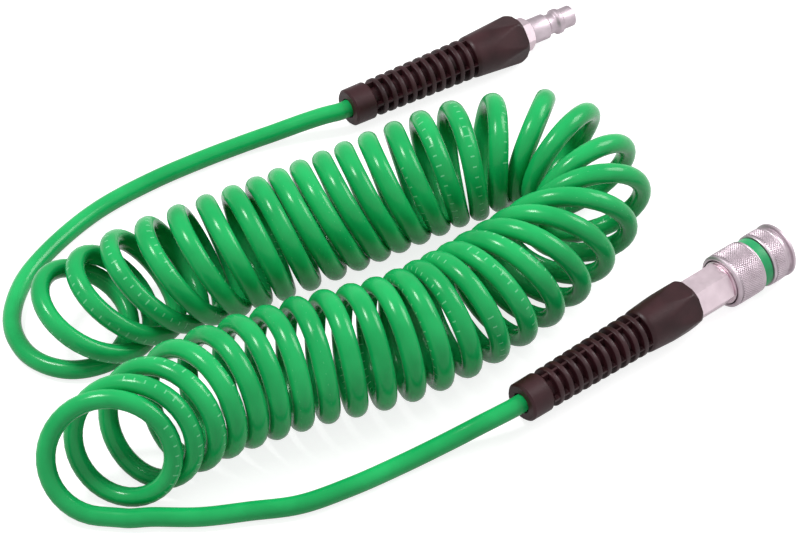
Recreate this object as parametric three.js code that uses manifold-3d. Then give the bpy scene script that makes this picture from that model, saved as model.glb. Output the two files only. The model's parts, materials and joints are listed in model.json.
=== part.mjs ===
// Coiled polyurethane air hose, lying as a U, with a plug on one end and a quick coupler on the other.
// Millimetres, +Z up. +X runs along the coupler's axis, out of its mouth.
// The lie of the hose is drawn first, and the whole is then turned to the coupler's axis and set on the
// middle of its own footprint.

import * as THREE from 'three';
import { mergeVertices } from 'three/addons/utils/BufferGeometryUtils.js';
import Module from 'manifold-3d';

const wasm = await Module();
wasm.setup();

// ---------------------------------------------------------------- driving dimensions

const fit = 0.3;                 // running gap between neighbouring pieces
const roundSides = 20;           // sides of a turned piece
const bootSides = 18;
const smallSides = 16;           // sides of a small turned piece

// Hose: 5 x 8 tube wound on a mandrel.
const hoseDiameter = 8;
const hoseBore = 5;
const turnRadius = 23.4;         // centre of a turn to the hose's centre line
const firstTurn = 0.5;
const lastTurn = 40.5;
const turnSteps = 8;
const coilSides = 5;
const tailSides = 10;
const tailStep = 10;             // length of one straight bit of a tail

// Stations of the coil: turn, x, y of the turn's centre, heading of the coil, lean of the turn.
const coilStations = [
  [0, -261, 162, -66, -77],
  [1, -254, 151.5, -48, -59],
  [2.5, -233, 147.5, -32, -46],
  [4.5, -208.5, 139.5, -27, -29],
  [7, -181, 132, -21, -14],
  [10, -146, 128, -22, -21],
  [13.5, -107.5, 123.5, -28, -19],
  [16.5, -72, 115.5, -35, -2],
  [18.5, -44.5, 100.5, -73, 10],
  [20.5, -51, 65, -108, 11],
  [22.5, -80, 53.5, -143, 12],
  [25.5, -121.5, 46.5, -174, 9],
  [29.5, -169, 48, -199, 1],
  [33.5, -214, 62.5, -202, -1],
  [37, -257.5, 71, -178, -5],
  [39, -287.5, 71, -149, -15],
  [40.5, -307, 69, -130, -23],
];

// Points of the two tails between the coil and the fittings, chosen by hand: x, y and lift off the floor.
const plugTailPoints = [
  [-265, 133.8, 0], [-271.9, 137.2, 0], [-276.6, 141.8, 0], [-280.3, 148.5, 0], [-282.1, 157, 0],
  [-281, 166.6, 0], [-278, 174.9, 0], [-272.8, 182.8, 0], [-263.5, 192, 0],
  [-252.5, 199.5, 0], [-230.5, 208.5, 0], [-205, 214.5, 0], [-177, 215.5, 0], [-151, 213.5, 0],
  [-126.2, 209.6, 0.4], [-115, 206.1, 1.8], [-103.2, 201.6, 4.2], [-93.3, 197.2, 6.3],
];
const couplerTailPoints = [
  [-297.5, 49, 0], [-282, 36.5, 0], [-264.5, 26.5, 0], [-247, 17, 0], [-225.5, 12, 0],
  [-202, 9, 0], [-179, 5.5, 2], [-166, 2, 5.5],
];

// Where the fittings lie: the front of the plug's boot and its axis' height, the coupler's mouth,
// headings and rolls.
const plugFront = [10.3, 185];
const plugHeight = 11.1;
const plugHeading = -5.4;
const plugRoll = 78;
const couplerMouth = [0.7, 2.1];
const couplerHeading = 1.2;
const couplerRoll = 90;

// Boot: a rubber bend guard over the crimped joint.
const bootLength = 93.3;
const bootCollarLength = 11;
const bootCollarDiameter = 17.2;
const bootRibs = 10;
const bootRibPitch = 5.15;
const bootRibWidth = 2.4;
const bootFirstRib = 14.3;        // rear of the boot to the first rib's rear face
const bootRibDiameter = 17.2;    // first rib
const bootRibGrowth = 2;         // how much wider the last rib is
const bootCoreDiameter = 12.8;
const bootWebs = 4;
const bootWebWidth = 1.2;
const bootFlareLength = 27.7;    // smooth part behind the front face
const bootFlareDiameter = 19.6;
const bootRimDiameter = 23.2;
const bootFrontDiameter = 20.8;
const bootRimDepth = 3;          // front face to the widest rim
const bootFrontFlats = 20;       // the flare turns hexagonal towards its front
const bootFlatsTaper = 0.085;    // how much wider the flats grow for each millimetre back

// Crimped joint, the same on both ends.
const connectorHex = 17;         // across flats
const connectorHexLength = 12;
const threadDiameter = 13.16;
const threadLength = 9.5;
const washerThickness = 1.2;
const washerDiameter = 16.4;
const barbLength = 22;
const barbRidges = 4;
const barbBore = 2.4;
const collarDiameter = 10;
const collarLength = 1;
const ferruleLength = 21;
const ferruleWall = 1.2;
const ferruleGrooves = 3;
const ferruleGrooveDepth = 0.45;
const hexSeat = 1.5;             // how deep a body's hexagon sits in the boot

// Plug nipple, measured from the boot's front face.
const plugHex = 14;
const plugHexLength = 5.9;
const plugBodyDiameter = 12;
const plugBodyLength = 9.7;
const plugNeckDiameter = 9.5;
const plugNeckLength = 5.3;
const plugRidgeDiameter = 12;
const plugRidgeLength = 2.2;
const plugTipDiameter = 10;
const plugTipLength = 7.3;
const plugBore = 5.4;

// Coupler, measured back from the sleeve's mouth.
const couplerHexVisible = 20.3;
const noseDiameter = 17;
const noseRecess = 0.8;
const sleeveLength = 33.5;
const sleeveRearBore = noseDiameter + 3.8;
const sleeveRearWall = 1.6;
const sleeveDiameter = sleeveRearBore + 2 * sleeveRearWall;
const sleeveLipDiameter = sleeveDiameter + 0.4;
const sleeveLipLength = 1.9;
const sleeveNeckLength = 2.3;
const sleeveNeckDiameter = sleeveDiameter - 2.2;
const sleeveFrontRing = 8.5;
const bandLength = 5.3;
const bandGrooveDiameter = sleeveDiameter - 2.7;
const bandDiameter = bandGrooveDiameter + 1.2;
const sleeveRearBoreLength = 5;
const sleeveSlope = 0.4;         // ball travel for each millimetre of sleeve travel
const sleeveTravel = 3.5;
const rampLead = 0.4;            // the ramp starts this far behind the balls

const socketDiameter = 12.4;
const socketDepth = 12.6;
const sealBoreDiameter = 10.3;
const seatPlane = 21;            // mouth to the valve seat's front face
const seatThickness = 2;
const seatBore = 7.2;
const chamberDiameter = 12.4;
const noseShoulder = 28;
const noseSpigotDiameter = 14.8;
const noseSpigotLength = 8.2;

const ballCount = 6;
const ballDiameter = 3.5;
const ballPlane = 8;
const ballInset = 1.65;          // nose's surface to the balls' centres
const ballCircle = noseDiameter / 2 - ballInset;
const ballHoleInner = 3.46;
const ballHoleTaper = 0.3;

const stopRingPlane = 4.15;      // mouth to the ring's front face
const stopRingThickness = 1;
const stopRingDepth = 0.75;      // depth of its groove in the nose

const plugSealSection = 1.7;
const plugSealPlane = 17.2;
const plugSealGrooveWidth = 2.4;
const plugSealGrooveDiameter = 14;

const collarClearance = 0.6;     // body's collar to the sleeve's rear bore
const bodyCollarDiameter = sleeveRearBore - 2 * collarClearance;
const bodyBore = 5;

const springWasherThickness = 0.8;
const landRear = 12.3;           // mouth to the rear of the sleeve's land
const sleeveSpringWire = 1;
const sleeveSpringTurns = 5;
const valveSpringWire = 0.9;
const valveSpringDiameter = 8;
const valveSpringTurns = 5;

const poppetFront = 15.2;
const poppetDiameter = 6.2;
const poppetFlangeDiameter = 10.8;
const poppetFlangeThickness = 1.4;
const poppetStemDiameter = 3.2;
const poppetStemLength = 7;
const poppetBore = 3.6;
const poppetSlotWidth = 2;
const valveSealThickness = 1;
const valveSealBore = 6.8;

// ---------------------------------------------------------------- finishes

const finishes = {
  hose: { color: 0x1ea35c, roughness: 0.28, metalness: 0 },
  rubber: { color: 0x3b2c2c, roughness: 0.6, metalness: 0 },
  steel: { color: 0xbdb6bb, roughness: 0.35, metalness: 0.9 },
  brass: { color: 0xb9a05a, roughness: 0.4, metalness: 0.9 },
  nitrile: { color: 0x151515, roughness: 0.7, metalness: 0 },
  band: { color: 0x1c9a56, roughness: 0.4, metalness: 0 },
};

// ---------------------------------------------------------------- solids

/** A closed geometry as a solid, with its shared corners merged and its faces out. */
function solidFrom(geometry) {
  const bare = geometry.clone();
  bare.deleteAttribute('normal');
  bare.deleteAttribute('uv');
  const merged = mergeVertices(bare, 1e-4);
  const vertProperties = Float32Array.from(merged.attributes.position.array);
  const corners = Array.from(merged.index.array);
  const kept = [];
  let volume = 0;
  const at = (i) => new THREE.Vector3().fromArray(vertProperties, 3 * i);
  for (let i = 0; i < corners.length; i += 3) {
    const [a, b, c] = corners.slice(i, i + 3);
    if (a === b || b === c || c === a) continue;
    kept.push(a, b, c);
    volume += at(a).dot(at(b).cross(at(c)));
  }
  if (volume < 0) kept.reverse();
  const triVerts = Uint32Array.from(kept);
  return new wasm.Manifold(new wasm.Mesh({ numProp: 3, vertProperties, triVerts }));
}

/** A solid of revolution about the local X axis, from corners of [x, radius]. */
function turned(profile, sides = roundSides) {
  const outline = profile.map(([x, radius]) => new THREE.Vector2(radius, x));
  if (outline[0].x > 0) outline.push(outline[0].clone());
  const geometry = new THREE.LatheGeometry(outline, sides);
  geometry.rotateZ(-Math.PI / 2);
  return solidFrom(geometry);
}

/** A plain ring or rod about the local X axis. */
function ring(rear, front, inner, outer, sides = roundSides) {
  return turned([[rear, inner], [rear, outer], [front, outer], [front, inner]], sides);
}

/** A hexagonal bar about the local X axis; the flats may differ at its two ends. */
function hexBar(rear, front, rearFlats, frontFlats = rearFlats) {
  const corner = (flats) => flats / 2 / Math.cos(Math.PI / 6);
  const geometry = new THREE.CylinderGeometry(corner(frontFlats), corner(rearFlats), front - rear, 6);
  geometry.rotateZ(-Math.PI / 2);
  geometry.translate((front + rear) / 2, 0, 0);
  return solidFrom(geometry);
}

/** A tube through rings of points, with flat ends. */
function tubeThrough(rings) {
  const sides = rings[0].length;
  const points = rings.flat();
  const faces = [];
  for (let i = 0; i < rings.length - 1; i++) {
    for (let j = 0; j < sides; j++) {
      const a = i * sides + j;
      const b = i * sides + (j + 1) % sides;
      faces.push(a, b, a + sides, b, b + sides, a + sides);
    }
  }
  const last = (rings.length - 1) * sides;
  for (let j = 1; j < sides - 1; j++) {
    faces.push(0, j + 1, j);
    faces.push(last, last + j, last + j + 1);
  }
  const geometry = new THREE.BufferGeometry().setFromPoints(points);
  geometry.setIndex(faces);
  return solidFrom(geometry);
}

/** A ring of points round a centre, the first one along the outward direction. */
function ringOfPoints(centre, outward, side, radius, sides) {
  return Array.from({ length: sides }, (_, j) => {
    const angle = (2 * Math.PI * j) / sides;
    return centre.clone()
      .addScaledVector(outward, radius * Math.cos(angle))
      .addScaledVector(side, radius * Math.sin(angle));
  });
}

/** A named mesh of a solid. */
function piece(name, solid, finish) {
  const { vertProperties, triVerts } = solid.getMesh();
  const geometry = new THREE.BufferGeometry();
  geometry.setAttribute('position', new THREE.BufferAttribute(vertProperties, 3));
  geometry.setIndex(new THREE.BufferAttribute(triVerts, 1));
  geometry.computeVertexNormals();
  const mesh = new THREE.Mesh(geometry, new THREE.MeshStandardMaterial(finishes[finish]));
  mesh.name = name;
  return mesh;
}

// ---------------------------------------------------------------- the coil's formula

/** Values of the stations at a turn, on a smooth curve through them. */
function stationAt(turn) {
  const rows = coilStations;
  const slope = (i, k) => (rows[i + 1][k] - rows[i][k]) / (rows[i + 1][0] - rows[i][0]);
  const tangent = (i, k) => {
    if (i === 0) return slope(0, k);
    if (i === rows.length - 1) return slope(i - 1, k);
    const before = rows[i][0] - rows[i - 1][0];
    const after = rows[i + 1][0] - rows[i][0];
    return (after * slope(i - 1, k) + before * slope(i, k)) / (before + after);
  };
  let i = 0;
  while (i < rows.length - 2 && turn >= rows[i + 1][0]) i++;
  const span = rows[i + 1][0] - rows[i][0];
  const u = (turn - rows[i][0]) / span;
  const value = (k) =>
    (2 * u ** 3 - 3 * u ** 2 + 1) * rows[i][k] + (u ** 3 - 2 * u ** 2 + u) * span * tangent(i, k)
    + (3 * u ** 2 - 2 * u ** 3) * rows[i + 1][k] + (u ** 3 - u ** 2) * span * tangent(i + 1, k);
  const radians = THREE.MathUtils.degToRad;
  return { x: value(1), y: value(2), heading: radians(value(3)), lean: radians(value(4)) };
}

const bedding = hoseDiameter / 10;      // how deep the faceted turns are cut flat

/** Centre of the hose at a turn, and the direction from the turn's centre out to it. */
function coilPoint(turn) {
  const { x, y, heading, lean } = stationAt(turn);
  const axis = new THREE.Vector3(Math.cos(heading), Math.sin(heading), 0);
  const side = new THREE.Vector3(Math.sin(heading), -Math.cos(heading), 0);
  const up = new THREE.Vector3(0, 0, Math.cos(lean)).addScaledVector(axis, Math.sin(lean));
  const angle = 2 * Math.PI * turn;
  const outward = up.multiplyScalar(Math.cos(angle)).addScaledVector(side, Math.sin(angle));
  const height = turnRadius * Math.cos(lean) + hoseDiameter / 2 - bedding;
  const centre = new THREE.Vector3(x, y, height).addScaledVector(outward, turnRadius);
  return { centre, outward };
}

/** Direction of the hose at a turn. */
function coilDirection(turn) {
  const step = 1e-3;
  return coilPoint(turn + step).centre.sub(coilPoint(turn - step).centre).normalize();
}

/** The coil's straight lead, one hose diameter along the hose and never down into the floor. */
function coilLead(turn, sense) {
  const along = coilDirection(turn).multiplyScalar(sense);
  along.setZ(Math.max(along.z, 0)).normalize();
  const { centre } = coilPoint(turn);
  return { end: centre.clone().addScaledVector(along, hoseDiameter), along };
}

/** Least distance between the hose and itself along the coil, measured on points of its centre line. */
function coilGap() {
  const perTurn = 32;
  const count = Math.round((lastTurn - firstTurn) * perTurn);
  const points = Array.from({ length: count + 1 }, (_, i) => coilPoint(firstTurn + i / perTurn).centre);
  let least = Infinity;
  for (let i = 0; i <= count; i++) {
    for (let j = i + perTurn / 2; j <= count; j++) least = Math.min(least, points[i].distanceTo(points[j]));
  }
  return least - hoseDiameter;
}

/** The wound part of the hose, cut flat where it rests on the floor. */
function hoseCoil() {
  const radius = hoseDiameter / 2;
  const steps = Math.round((lastTurn - firstTurn) * turnSteps);
  const rings = [];
  const addRing = (centre, along, outward) => {
    const out = outward.clone().addScaledVector(along, -outward.dot(along)).normalize();
    rings.push(ringOfPoints(centre, out, along.clone().cross(out), radius, coilSides));
  };
  const start = coilLead(firstTurn, -1);
  const end = coilLead(lastTurn, 1);
  addRing(start.end, start.along.clone().negate(), coilPoint(firstTurn).outward);
  for (let i = 0; i <= steps; i++) {
    const turn = firstTurn + i / turnSteps;
    const { centre, outward } = coilPoint(turn);
    addRing(centre, coilDirection(turn), outward);
  }
  addRing(end.end, end.along, coilPoint(lastTurn).outward);
  return cutFlat(tubeThrough(rings));
}

/** A length of hose without the part of it that lies under the floor. */
function cutFlat(solid) {
  return solid.trimByPlane([0, 0, 1], 0);
}

/** One tail of the hose, from the coil's lead to the crimped joint, bored for the barb. */
function hoseTail(lead, points, fitting) {
  const inFitting = (x) => new THREE.Vector3(x, 0, 0).applyMatrix4(fitting.matrix);
  const onFloor = hoseDiameter / 2 - bedding;
  const hoseEnd = -ferruleFront;
  const route = new THREE.CatmullRomCurve3([
    lead.end.clone().addScaledVector(lead.along, fit),
    lead.end.clone().addScaledVector(lead.along, fit + hoseDiameter / 2),
    ...points.map(([x, y, lift]) => new THREE.Vector3(x, y, onFloor + lift)),
    ...[-bootLength - hoseDiameter / 2, -bootLength, -bootLength / 2, hoseEnd].map(inFitting),
  ], false, 'centripetal');
  const corners = Array.from({ length: tailSides }, (_, i) => {
    const angle = (2 * Math.PI * i) / tailSides;
    return new THREE.Vector2(Math.cos(angle), Math.sin(angle)).multiplyScalar(hoseDiameter / 2);
  });
  const steps = Math.round(route.getLength() / tailStep);
  const tube = new THREE.ExtrudeGeometry(new THREE.Shape(corners), { steps, extrudePath: route });
  const bore = ring(hoseEnd - barbLength - fit, hoseEnd + 1, 0, hoseBore / 2, tailSides);
  return cutFlat(solidFrom(tube).subtract(bore.transform(fitting.matrix.elements)));
}

// ---------------------------------------------------------------- the crimped joint and its boot

const washerRear = hexSeat + fit + washerThickness;    // boot's front face back to the washer's rear
const connectorFront = washerRear + fit;
const ferruleFront = connectorFront + connectorHexLength + collarLength + fit;
const pocketDepth = connectorFront + connectorHexLength + fit;

/** The rubber boot: collar, ribs on a core with webs, and a flare that turns hexagonal at its front. */
function boot() {
  const ribRadius = (i) => (bootRibDiameter + (bootRibGrowth * i) / (bootRibs - 1)) / 2;
  const core = bootCoreDiameter / 2;
  const flareStart = -bootFlareLength;
  const outline = [[-bootLength, 0], [-bootLength, bootCollarDiameter / 2 - 0.6]];
  outline.push([-bootLength + 0.6, bootCollarDiameter / 2]);
  outline.push([-bootLength + bootCollarLength, bootCollarDiameter / 2]);
  outline.push([-bootLength + bootCollarLength, core]);
  for (let i = 0; i < bootRibs; i++) {
    const rear = -bootLength + bootFirstRib + i * bootRibPitch;
    outline.push([rear, core], [rear, ribRadius(i)]);
    outline.push([rear + bootRibWidth, ribRadius(i)], [rear + bootRibWidth, core]);
  }
  outline.push([flareStart, core], [flareStart, bootFlareDiameter / 2]);
  outline.push([-bootRimDepth, bootRimDiameter / 2], [0, bootFrontDiameter / 2], [0, 0]);
  const rearFlats = bootFrontFlats + bootFlatsTaper * bootLength;
  let solid = turned(outline, bootSides).intersect(hexBar(-bootLength, 0, rearFlats, bootFrontFlats));
  const webLength = bootLength - bootCollarLength - bootFlareLength + 2;
  for (let i = 0; i < bootWebs; i++) {
    const webHeight = bootRibDiameter / 2 - 0.3;
    const web = new THREE.BoxGeometry(webLength, bootWebWidth, webHeight);
    web.translate(-bootLength + bootCollarLength - 1 + webLength / 2, 0, webHeight / 2);
    web.rotateX((2 * Math.PI * i) / bootWebs);
    solid = solid.add(solidFrom(web));
  }
  const ferruleBore = hoseDiameter / 2 + fit + ferruleWall + fit;
  const ferruleRear = -(ferruleFront + ferruleLength + fit);
  const hollow = turned([
    [-bootLength - 1, 0], [-bootLength - 1, hoseDiameter / 2 + fit], [ferruleRear, hoseDiameter / 2 + fit],
    [ferruleRear, ferruleBore], [-pocketDepth + 1, ferruleBore], [-pocketDepth + 1, 0],
  ], smallSides);
  return solid.subtract(hollow.add(hexBar(-pocketDepth, 1, connectorHex + 2 * fit)));
}

/** Barbed hose connector with a female thread under its hexagon. */
function hoseConnector() {
  const hexRear = -(connectorFront + connectorHexLength);
  const stemFront = hexRear - collarLength;
  const ridge = hoseBore / 2 - fit;
  const root = ridge - 0.35;
  const pitch = barbLength / barbRidges;
  const outline = [[stemFront - barbLength, 0]];
  for (let i = 0; i < barbRidges; i++) {
    const rear = stemFront - barbLength + i * pitch;
    outline.push([rear, root], [rear + pitch * 0.6, ridge], [rear + pitch * 0.62, root]);
  }
  outline.push([stemFront, root], [stemFront, collarDiameter / 2]);
  outline.push([hexRear + 1, collarDiameter / 2], [hexRear + 1, 0]);
  const socket = threadDiameter / 2 + fit;
  const socketRear = -(hexSeat + threadLength + fit);
  const passage = turned([
    [stemFront - barbLength - 1, 0], [stemFront - barbLength - 1, barbBore / 2], [socketRear, barbBore / 2],
    [socketRear, socket], [0, socket], [0, 0],
  ], smallSides);
  const hex = hexBar(hexRear, -connectorFront, connectorHex);
  return turned(outline, smallSides).add(hex).subtract(passage);
}

/** Crimped sleeve that clamps the hose on the barb, with rolled grooves. */
function ferrule() {
  const inner = hoseDiameter / 2 + fit;
  const outer = inner + ferruleWall;
  const rear = -(ferruleFront + ferruleLength);
  const pitch = ferruleLength / (ferruleGrooves + 1);
  const outline = [[rear, inner], [rear, outer]];
  for (let i = 1; i <= ferruleGrooves; i++) {
    const middle = rear + i * pitch;
    outline.push([middle - pitch / 4, outer], [middle, outer - ferruleGrooveDepth], [middle + pitch / 4, outer]);
  }
  outline.push([-ferruleFront, outer], [-ferruleFront, inner]);
  return turned(outline, smallSides);
}

/** Flat washer between a body's hexagon and the connector. */
function threadWasher() {
  return ring(-washerRear, -washerRear + washerThickness, threadDiameter / 2 + fit, washerDiameter / 2);
}

/** The pieces that are the same on both ends, in the fitting's own frame. */
function jointPieces(end) {
  return [
    piece(`${end}_boot`, boot(), 'rubber'),
    piece(`${end}_hose_connector`, hoseConnector(), 'brass'),
    piece(`${end}_ferrule`, ferrule(), 'steel'),
    piece(`${end}_thread_washer`, threadWasher(), 'nitrile'),
  ];
}

// ---------------------------------------------------------------- the plug

/** Plug nipple: threaded tail, hexagon, body, neck, locking ridge and tip, bored through. */
function plugNipple() {
  const thread = threadDiameter / 2;
  const [body, neck] = [plugBodyDiameter / 2, plugNeckDiameter / 2];
  const [ridge, tip] = [plugRidgeDiameter / 2, plugTipDiameter / 2];
  const bodyEnd = plugHexLength + plugBodyLength;
  const ridgeStart = bodyEnd + plugNeckLength;
  const ridgeEnd = ridgeStart + plugRidgeLength;
  const tipEnd = ridgeEnd + plugTipLength;
  const threadEnd = -(hexSeat + threadLength);
  const shank = turned([
    [threadEnd, 0], [threadEnd, thread - 0.7], [threadEnd + 0.7, thread], [-hexSeat + 0.5, thread],
    [-hexSeat + 0.5, body], [bodyEnd, body], [bodyEnd + 0.8, neck], [ridgeStart - 0.4, neck],
    [ridgeStart, ridge], [ridgeEnd, ridge], [ridgeEnd + 0.6, tip], [tipEnd - 0.5, tip], [tipEnd, tip - 0.5],
    [tipEnd, 0],
  ]);
  const hex = hexBar(-hexSeat, plugHexLength, plugHex);
  return shank.add(hex).subtract(ring(threadEnd - 1, tipEnd + 1, 0, plugBore / 2));
}

// ---------------------------------------------------------------- the coupler

const couplerFront = -(sleeveLength + couplerHexVisible);   // coupler mouth to the boot's front face
const hexFront = -sleeveLength - fit;
const noseRear = -(noseShoulder + noseSpigotLength);
const bodyFront = -noseShoulder - fit;
const bodyShoulder = noseRear - fit;
const landRadius = noseDiameter / 2 + fit + 0.05;
const springOuter = noseDiameter / 2 + fit + sleeveSpringWire;
const springBore = springOuter + fit;
const releaseRadius = ballCircle + ballDiameter / 2 + sleeveSlope * sleeveTravel + fit / 2;
const rampRear = -ballPlane - rampLead;
const rampFront = rampRear + (releaseRadius - landRadius) / sleeveSlope;
const sealRear = -(seatPlane + seatThickness + fit);
const flangeFront = sealRear - valveSealThickness - fit;
const flangeRear = flangeFront - poppetFlangeThickness;

/** Coupler body: threaded tail, hexagon and the collar that guides the sleeve. */
function couplerBody() {
  const thread = threadDiameter / 2;
  const hexRear = couplerFront - hexSeat;
  const threadEnd = hexRear - threadLength;
  const outer = turned([
    [threadEnd, 0], [threadEnd, thread - 0.7], [threadEnd + 0.7, thread], [hexRear + 2, thread],
    [hexRear + 2, noseSpigotDiameter / 2], [hexFront - 1, noseSpigotDiameter / 2],
    [hexFront, bodyCollarDiameter / 2], [bodyFront, bodyCollarDiameter / 2], [bodyFront, 0],
  ]);
  const passage = turned([
    [threadEnd - 1, 0], [threadEnd - 1, bodyBore / 2], [bodyShoulder, bodyBore / 2],
    [bodyShoulder, noseSpigotDiameter / 2 + fit], [bodyFront + 1, noseSpigotDiameter / 2 + fit],
    [bodyFront + 1, 0],
  ]);
  const hex = hexBar(hexRear, hexFront, connectorHex).rotate([couplerRoll, 0, 0]);
  return outer.add(hex).subtract(passage);
}

/** Coupler nose: the socket, the ball cage, the seal groove and the valve seat in one barrel. */
function couplerNose() {
  const outer = noseDiameter / 2;
  const [socket, sealBore, chamber] = [socketDiameter / 2, sealBoreDiameter / 2, chamberDiameter / 2];
  const ringGroove = outer - stopRingDepth;
  const ringFront = -stopRingPlane + fit / 2;
  const ringRear = -stopRingPlane - stopRingThickness - fit / 2;
  const grooveFront = -plugSealPlane + plugSealGrooveWidth / 2;
  const grooveRear = -plugSealPlane - plugSealGrooveWidth / 2;
  const seatRear = -seatPlane - seatThickness;
  const barrel = turned([
    [-noseRecess, socket + 0.8], [-noseRecess, outer - 0.5], [-noseRecess - 0.5, outer], [ringFront, outer],
    [ringFront, ringGroove], [ringRear, ringGroove], [ringRear, outer], [-noseShoulder, outer],
    [-noseShoulder, noseSpigotDiameter / 2], [noseRear, noseSpigotDiameter / 2], [noseRear, chamber],
    [seatRear, chamber], [seatRear, seatBore / 2], [-seatPlane, seatBore / 2], [-seatPlane, sealBore],
    [grooveRear, sealBore], [grooveRear, plugSealGrooveDiameter / 2],
    [grooveFront, plugSealGrooveDiameter / 2], [grooveFront, sealBore], [-socketDepth - 1, sealBore],
    [-socketDepth, socket], [-noseRecess - 0.8, socket],
  ]);
  return ballAngles().reduce((solid, angle) => {
    const depth = outer - socket + 2;
    const inner = ballHoleInner / 2 - ballHoleTaper;
    const hole = new THREE.CylinderGeometry(inner + ballHoleTaper * depth, inner, depth, 12);
    hole.rotateX(Math.PI / 2);
    hole.translate(-ballPlane, 0, socket - 1 + depth / 2);
    hole.rotateX(angle);
    return solid.subtract(solidFrom(hole));
  }, barrel);
}

/** Angles of the balls about the coupler's axis. */
function ballAngles() {
  return Array.from({ length: ballCount }, (_, i) => (2 * Math.PI * i) / ballCount);
}

/** One locking ball, at its angle. */
function lockingBall(angle) {
  const ball = new THREE.IcosahedronGeometry(ballDiameter / 2, 1);
  ball.translate(-ballPlane, 0, ballCircle);
  ball.rotateX(angle);
  return solidFrom(ball);
}

/** Sliding sleeve: two gripping rings, the band's groove, a neck and a lip over the mouth. */
function lockingSleeve() {
  const [outer, lip] = [sleeveDiameter / 2, sleeveLipDiameter / 2];
  const [neck, groove] = [sleeveNeckDiameter / 2, bandGrooveDiameter / 2];
  const neckFront = -sleeveLipLength;
  const neckRear = neckFront - sleeveNeckLength;
  const bandFront = neckRear - sleeveFrontRing;
  const bandRear = bandFront - bandLength;
  const rearBore = sleeveRearBore / 2;
  return turned([
    [-sleeveLength, rearBore], [-sleeveLength, outer - 0.9], [-sleeveLength + 1.2, outer],
    [bandRear, outer], [bandRear, groove], [bandFront, groove], [bandFront, outer],
    [neckRear - 0.4, outer], [neckRear, neck], [neckFront, neck], [neckFront + 0.3, lip], [-0.6, lip],
    [0, lip - 0.6], [0, releaseRadius], [rampFront, releaseRadius], [rampRear, landRadius],
    [-landRear, landRadius], [-landRear, springBore], [-sleeveLength + sleeveRearBoreLength, springBore],
    [-sleeveLength + sleeveRearBoreLength, rearBore],
  ]);
}

/** Coloured band in the sleeve's groove. */
function sleeveBand() {
  const front = -(sleeveLipLength + sleeveNeckLength + sleeveFrontRing) - fit;
  return ring(front - bandLength + 2 * fit, front, bandGrooveDiameter / 2 + fit, bandDiameter / 2);
}

/** Snap ring that stops the sleeve. */
function sleeveStopRing() {
  const rear = -stopRingPlane - stopRingThickness;
  return ring(rear, -stopRingPlane, noseDiameter / 2 - stopRingDepth + fit, releaseRadius - 0.9 * fit);
}

/** A ring of round section. */
function sealRing(plane, middle, section) {
  const torus = new THREE.TorusGeometry(middle, section / 2, 8, roundSides);
  torus.rotateY(Math.PI / 2);
  torus.translate(plane, 0, 0);
  return solidFrom(torus);
}

/** A compression spring along the local X axis, from the rear plane to the front plane. */
function spring(rear, front, middle, wire, turns, steps) {
  const length = front - rear - wire;
  const rings = Array.from({ length: turns * steps + 1 }, (_, i) => {
    const angle = (2 * Math.PI * i) / steps;
    const outward = new THREE.Vector3(0, Math.cos(angle), Math.sin(angle));
    const centre = outward.clone().multiplyScalar(middle);
    centre.x = rear + wire / 2 + (length * i) / (turns * steps);
    const along = new THREE.Vector3(length / (2 * Math.PI * turns), 0, 0)
      .addScaledVector(new THREE.Vector3(0, -Math.sin(angle), Math.cos(angle)), middle).normalize();
    return ringOfPoints(centre, outward, along.clone().cross(outward), wire / 2, coilSides);
  });
  return tubeThrough(rings);
}

/** Valve poppet: a slotted tube in front of the flange and a guide stem behind it. */
function valvePoppet() {
  const [tube, flange, stem] = [poppetDiameter / 2, poppetFlangeDiameter / 2, poppetStemDiameter / 2];
  const solid = turned([
    [flangeRear - poppetStemLength, 0], [flangeRear - poppetStemLength, stem], [flangeRear, stem],
    [flangeRear, flange], [flangeFront, flange], [flangeFront, tube], [-poppetFront - 0.5, tube],
    [-poppetFront, tube - 0.5], [-poppetFront, 0],
  ], smallSides);
  const boreRear = -seatPlane - 1;
  const bore = ring(boreRear, -poppetFront + 1, 0, poppetBore / 2, smallSides);
  const slot = new THREE.BoxGeometry(seatPlane + 1 - poppetFront - 2, poppetDiameter + 1, poppetSlotWidth);
  slot.translate((boreRear - poppetFront - 2) / 2, 0, 0);
  return solid.subtract(bore).subtract(solidFrom(slot));
}

/** The coupler's pieces, in its own frame with the mouth at the origin. */
function couplerPieces() {
  const washerFront = -landRear - fit;
  const springMiddle = springOuter - sleeveSpringWire / 2;
  const sleeveSpring = spring(
    bodyFront + fit, washerFront - springWasherThickness - fit, springMiddle, sleeveSpringWire,
    sleeveSpringTurns, 12,
  );
  const valveSpring = spring(
    bodyShoulder + fit, flangeRear - fit, valveSpringDiameter / 2, valveSpringWire, valveSpringTurns, turnSteps,
  );
  return [
    piece('coupler_body', couplerBody(), 'steel'),
    piece('coupler_nose', couplerNose(), 'steel'),
    piece('plug_seal', sealRing(-plugSealPlane, sealBoreDiameter / 2 + 0.7, plugSealSection), 'nitrile'),
    piece('sleeve_stop_ring', sleeveStopRing(), 'steel'),
    piece('valve_poppet', valvePoppet(), 'brass'),
    piece('valve_seal', ring(sealRear - valveSealThickness, sealRear, valveSealBore / 2,
      poppetFlangeDiameter / 2, smallSides), 'nitrile'),
    piece('valve_spring', valveSpring, 'steel'),
    piece('locking_sleeve', lockingSleeve(), 'steel'),
    piece('sleeve_band', sleeveBand(), 'band'),
    piece('spring_washer', ring(washerFront - springWasherThickness, washerFront,
      springOuter - sleeveSpringWire, springOuter), 'steel'),
    piece('sleeve_spring', sleeveSpring, 'steel'),
    ...ballAngles().map((angle, i) => piece(`locking_ball_${i + 1}`, lockingBall(angle), 'steel')),
  ];
}

// ---------------------------------------------------------------- assembly

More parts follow.
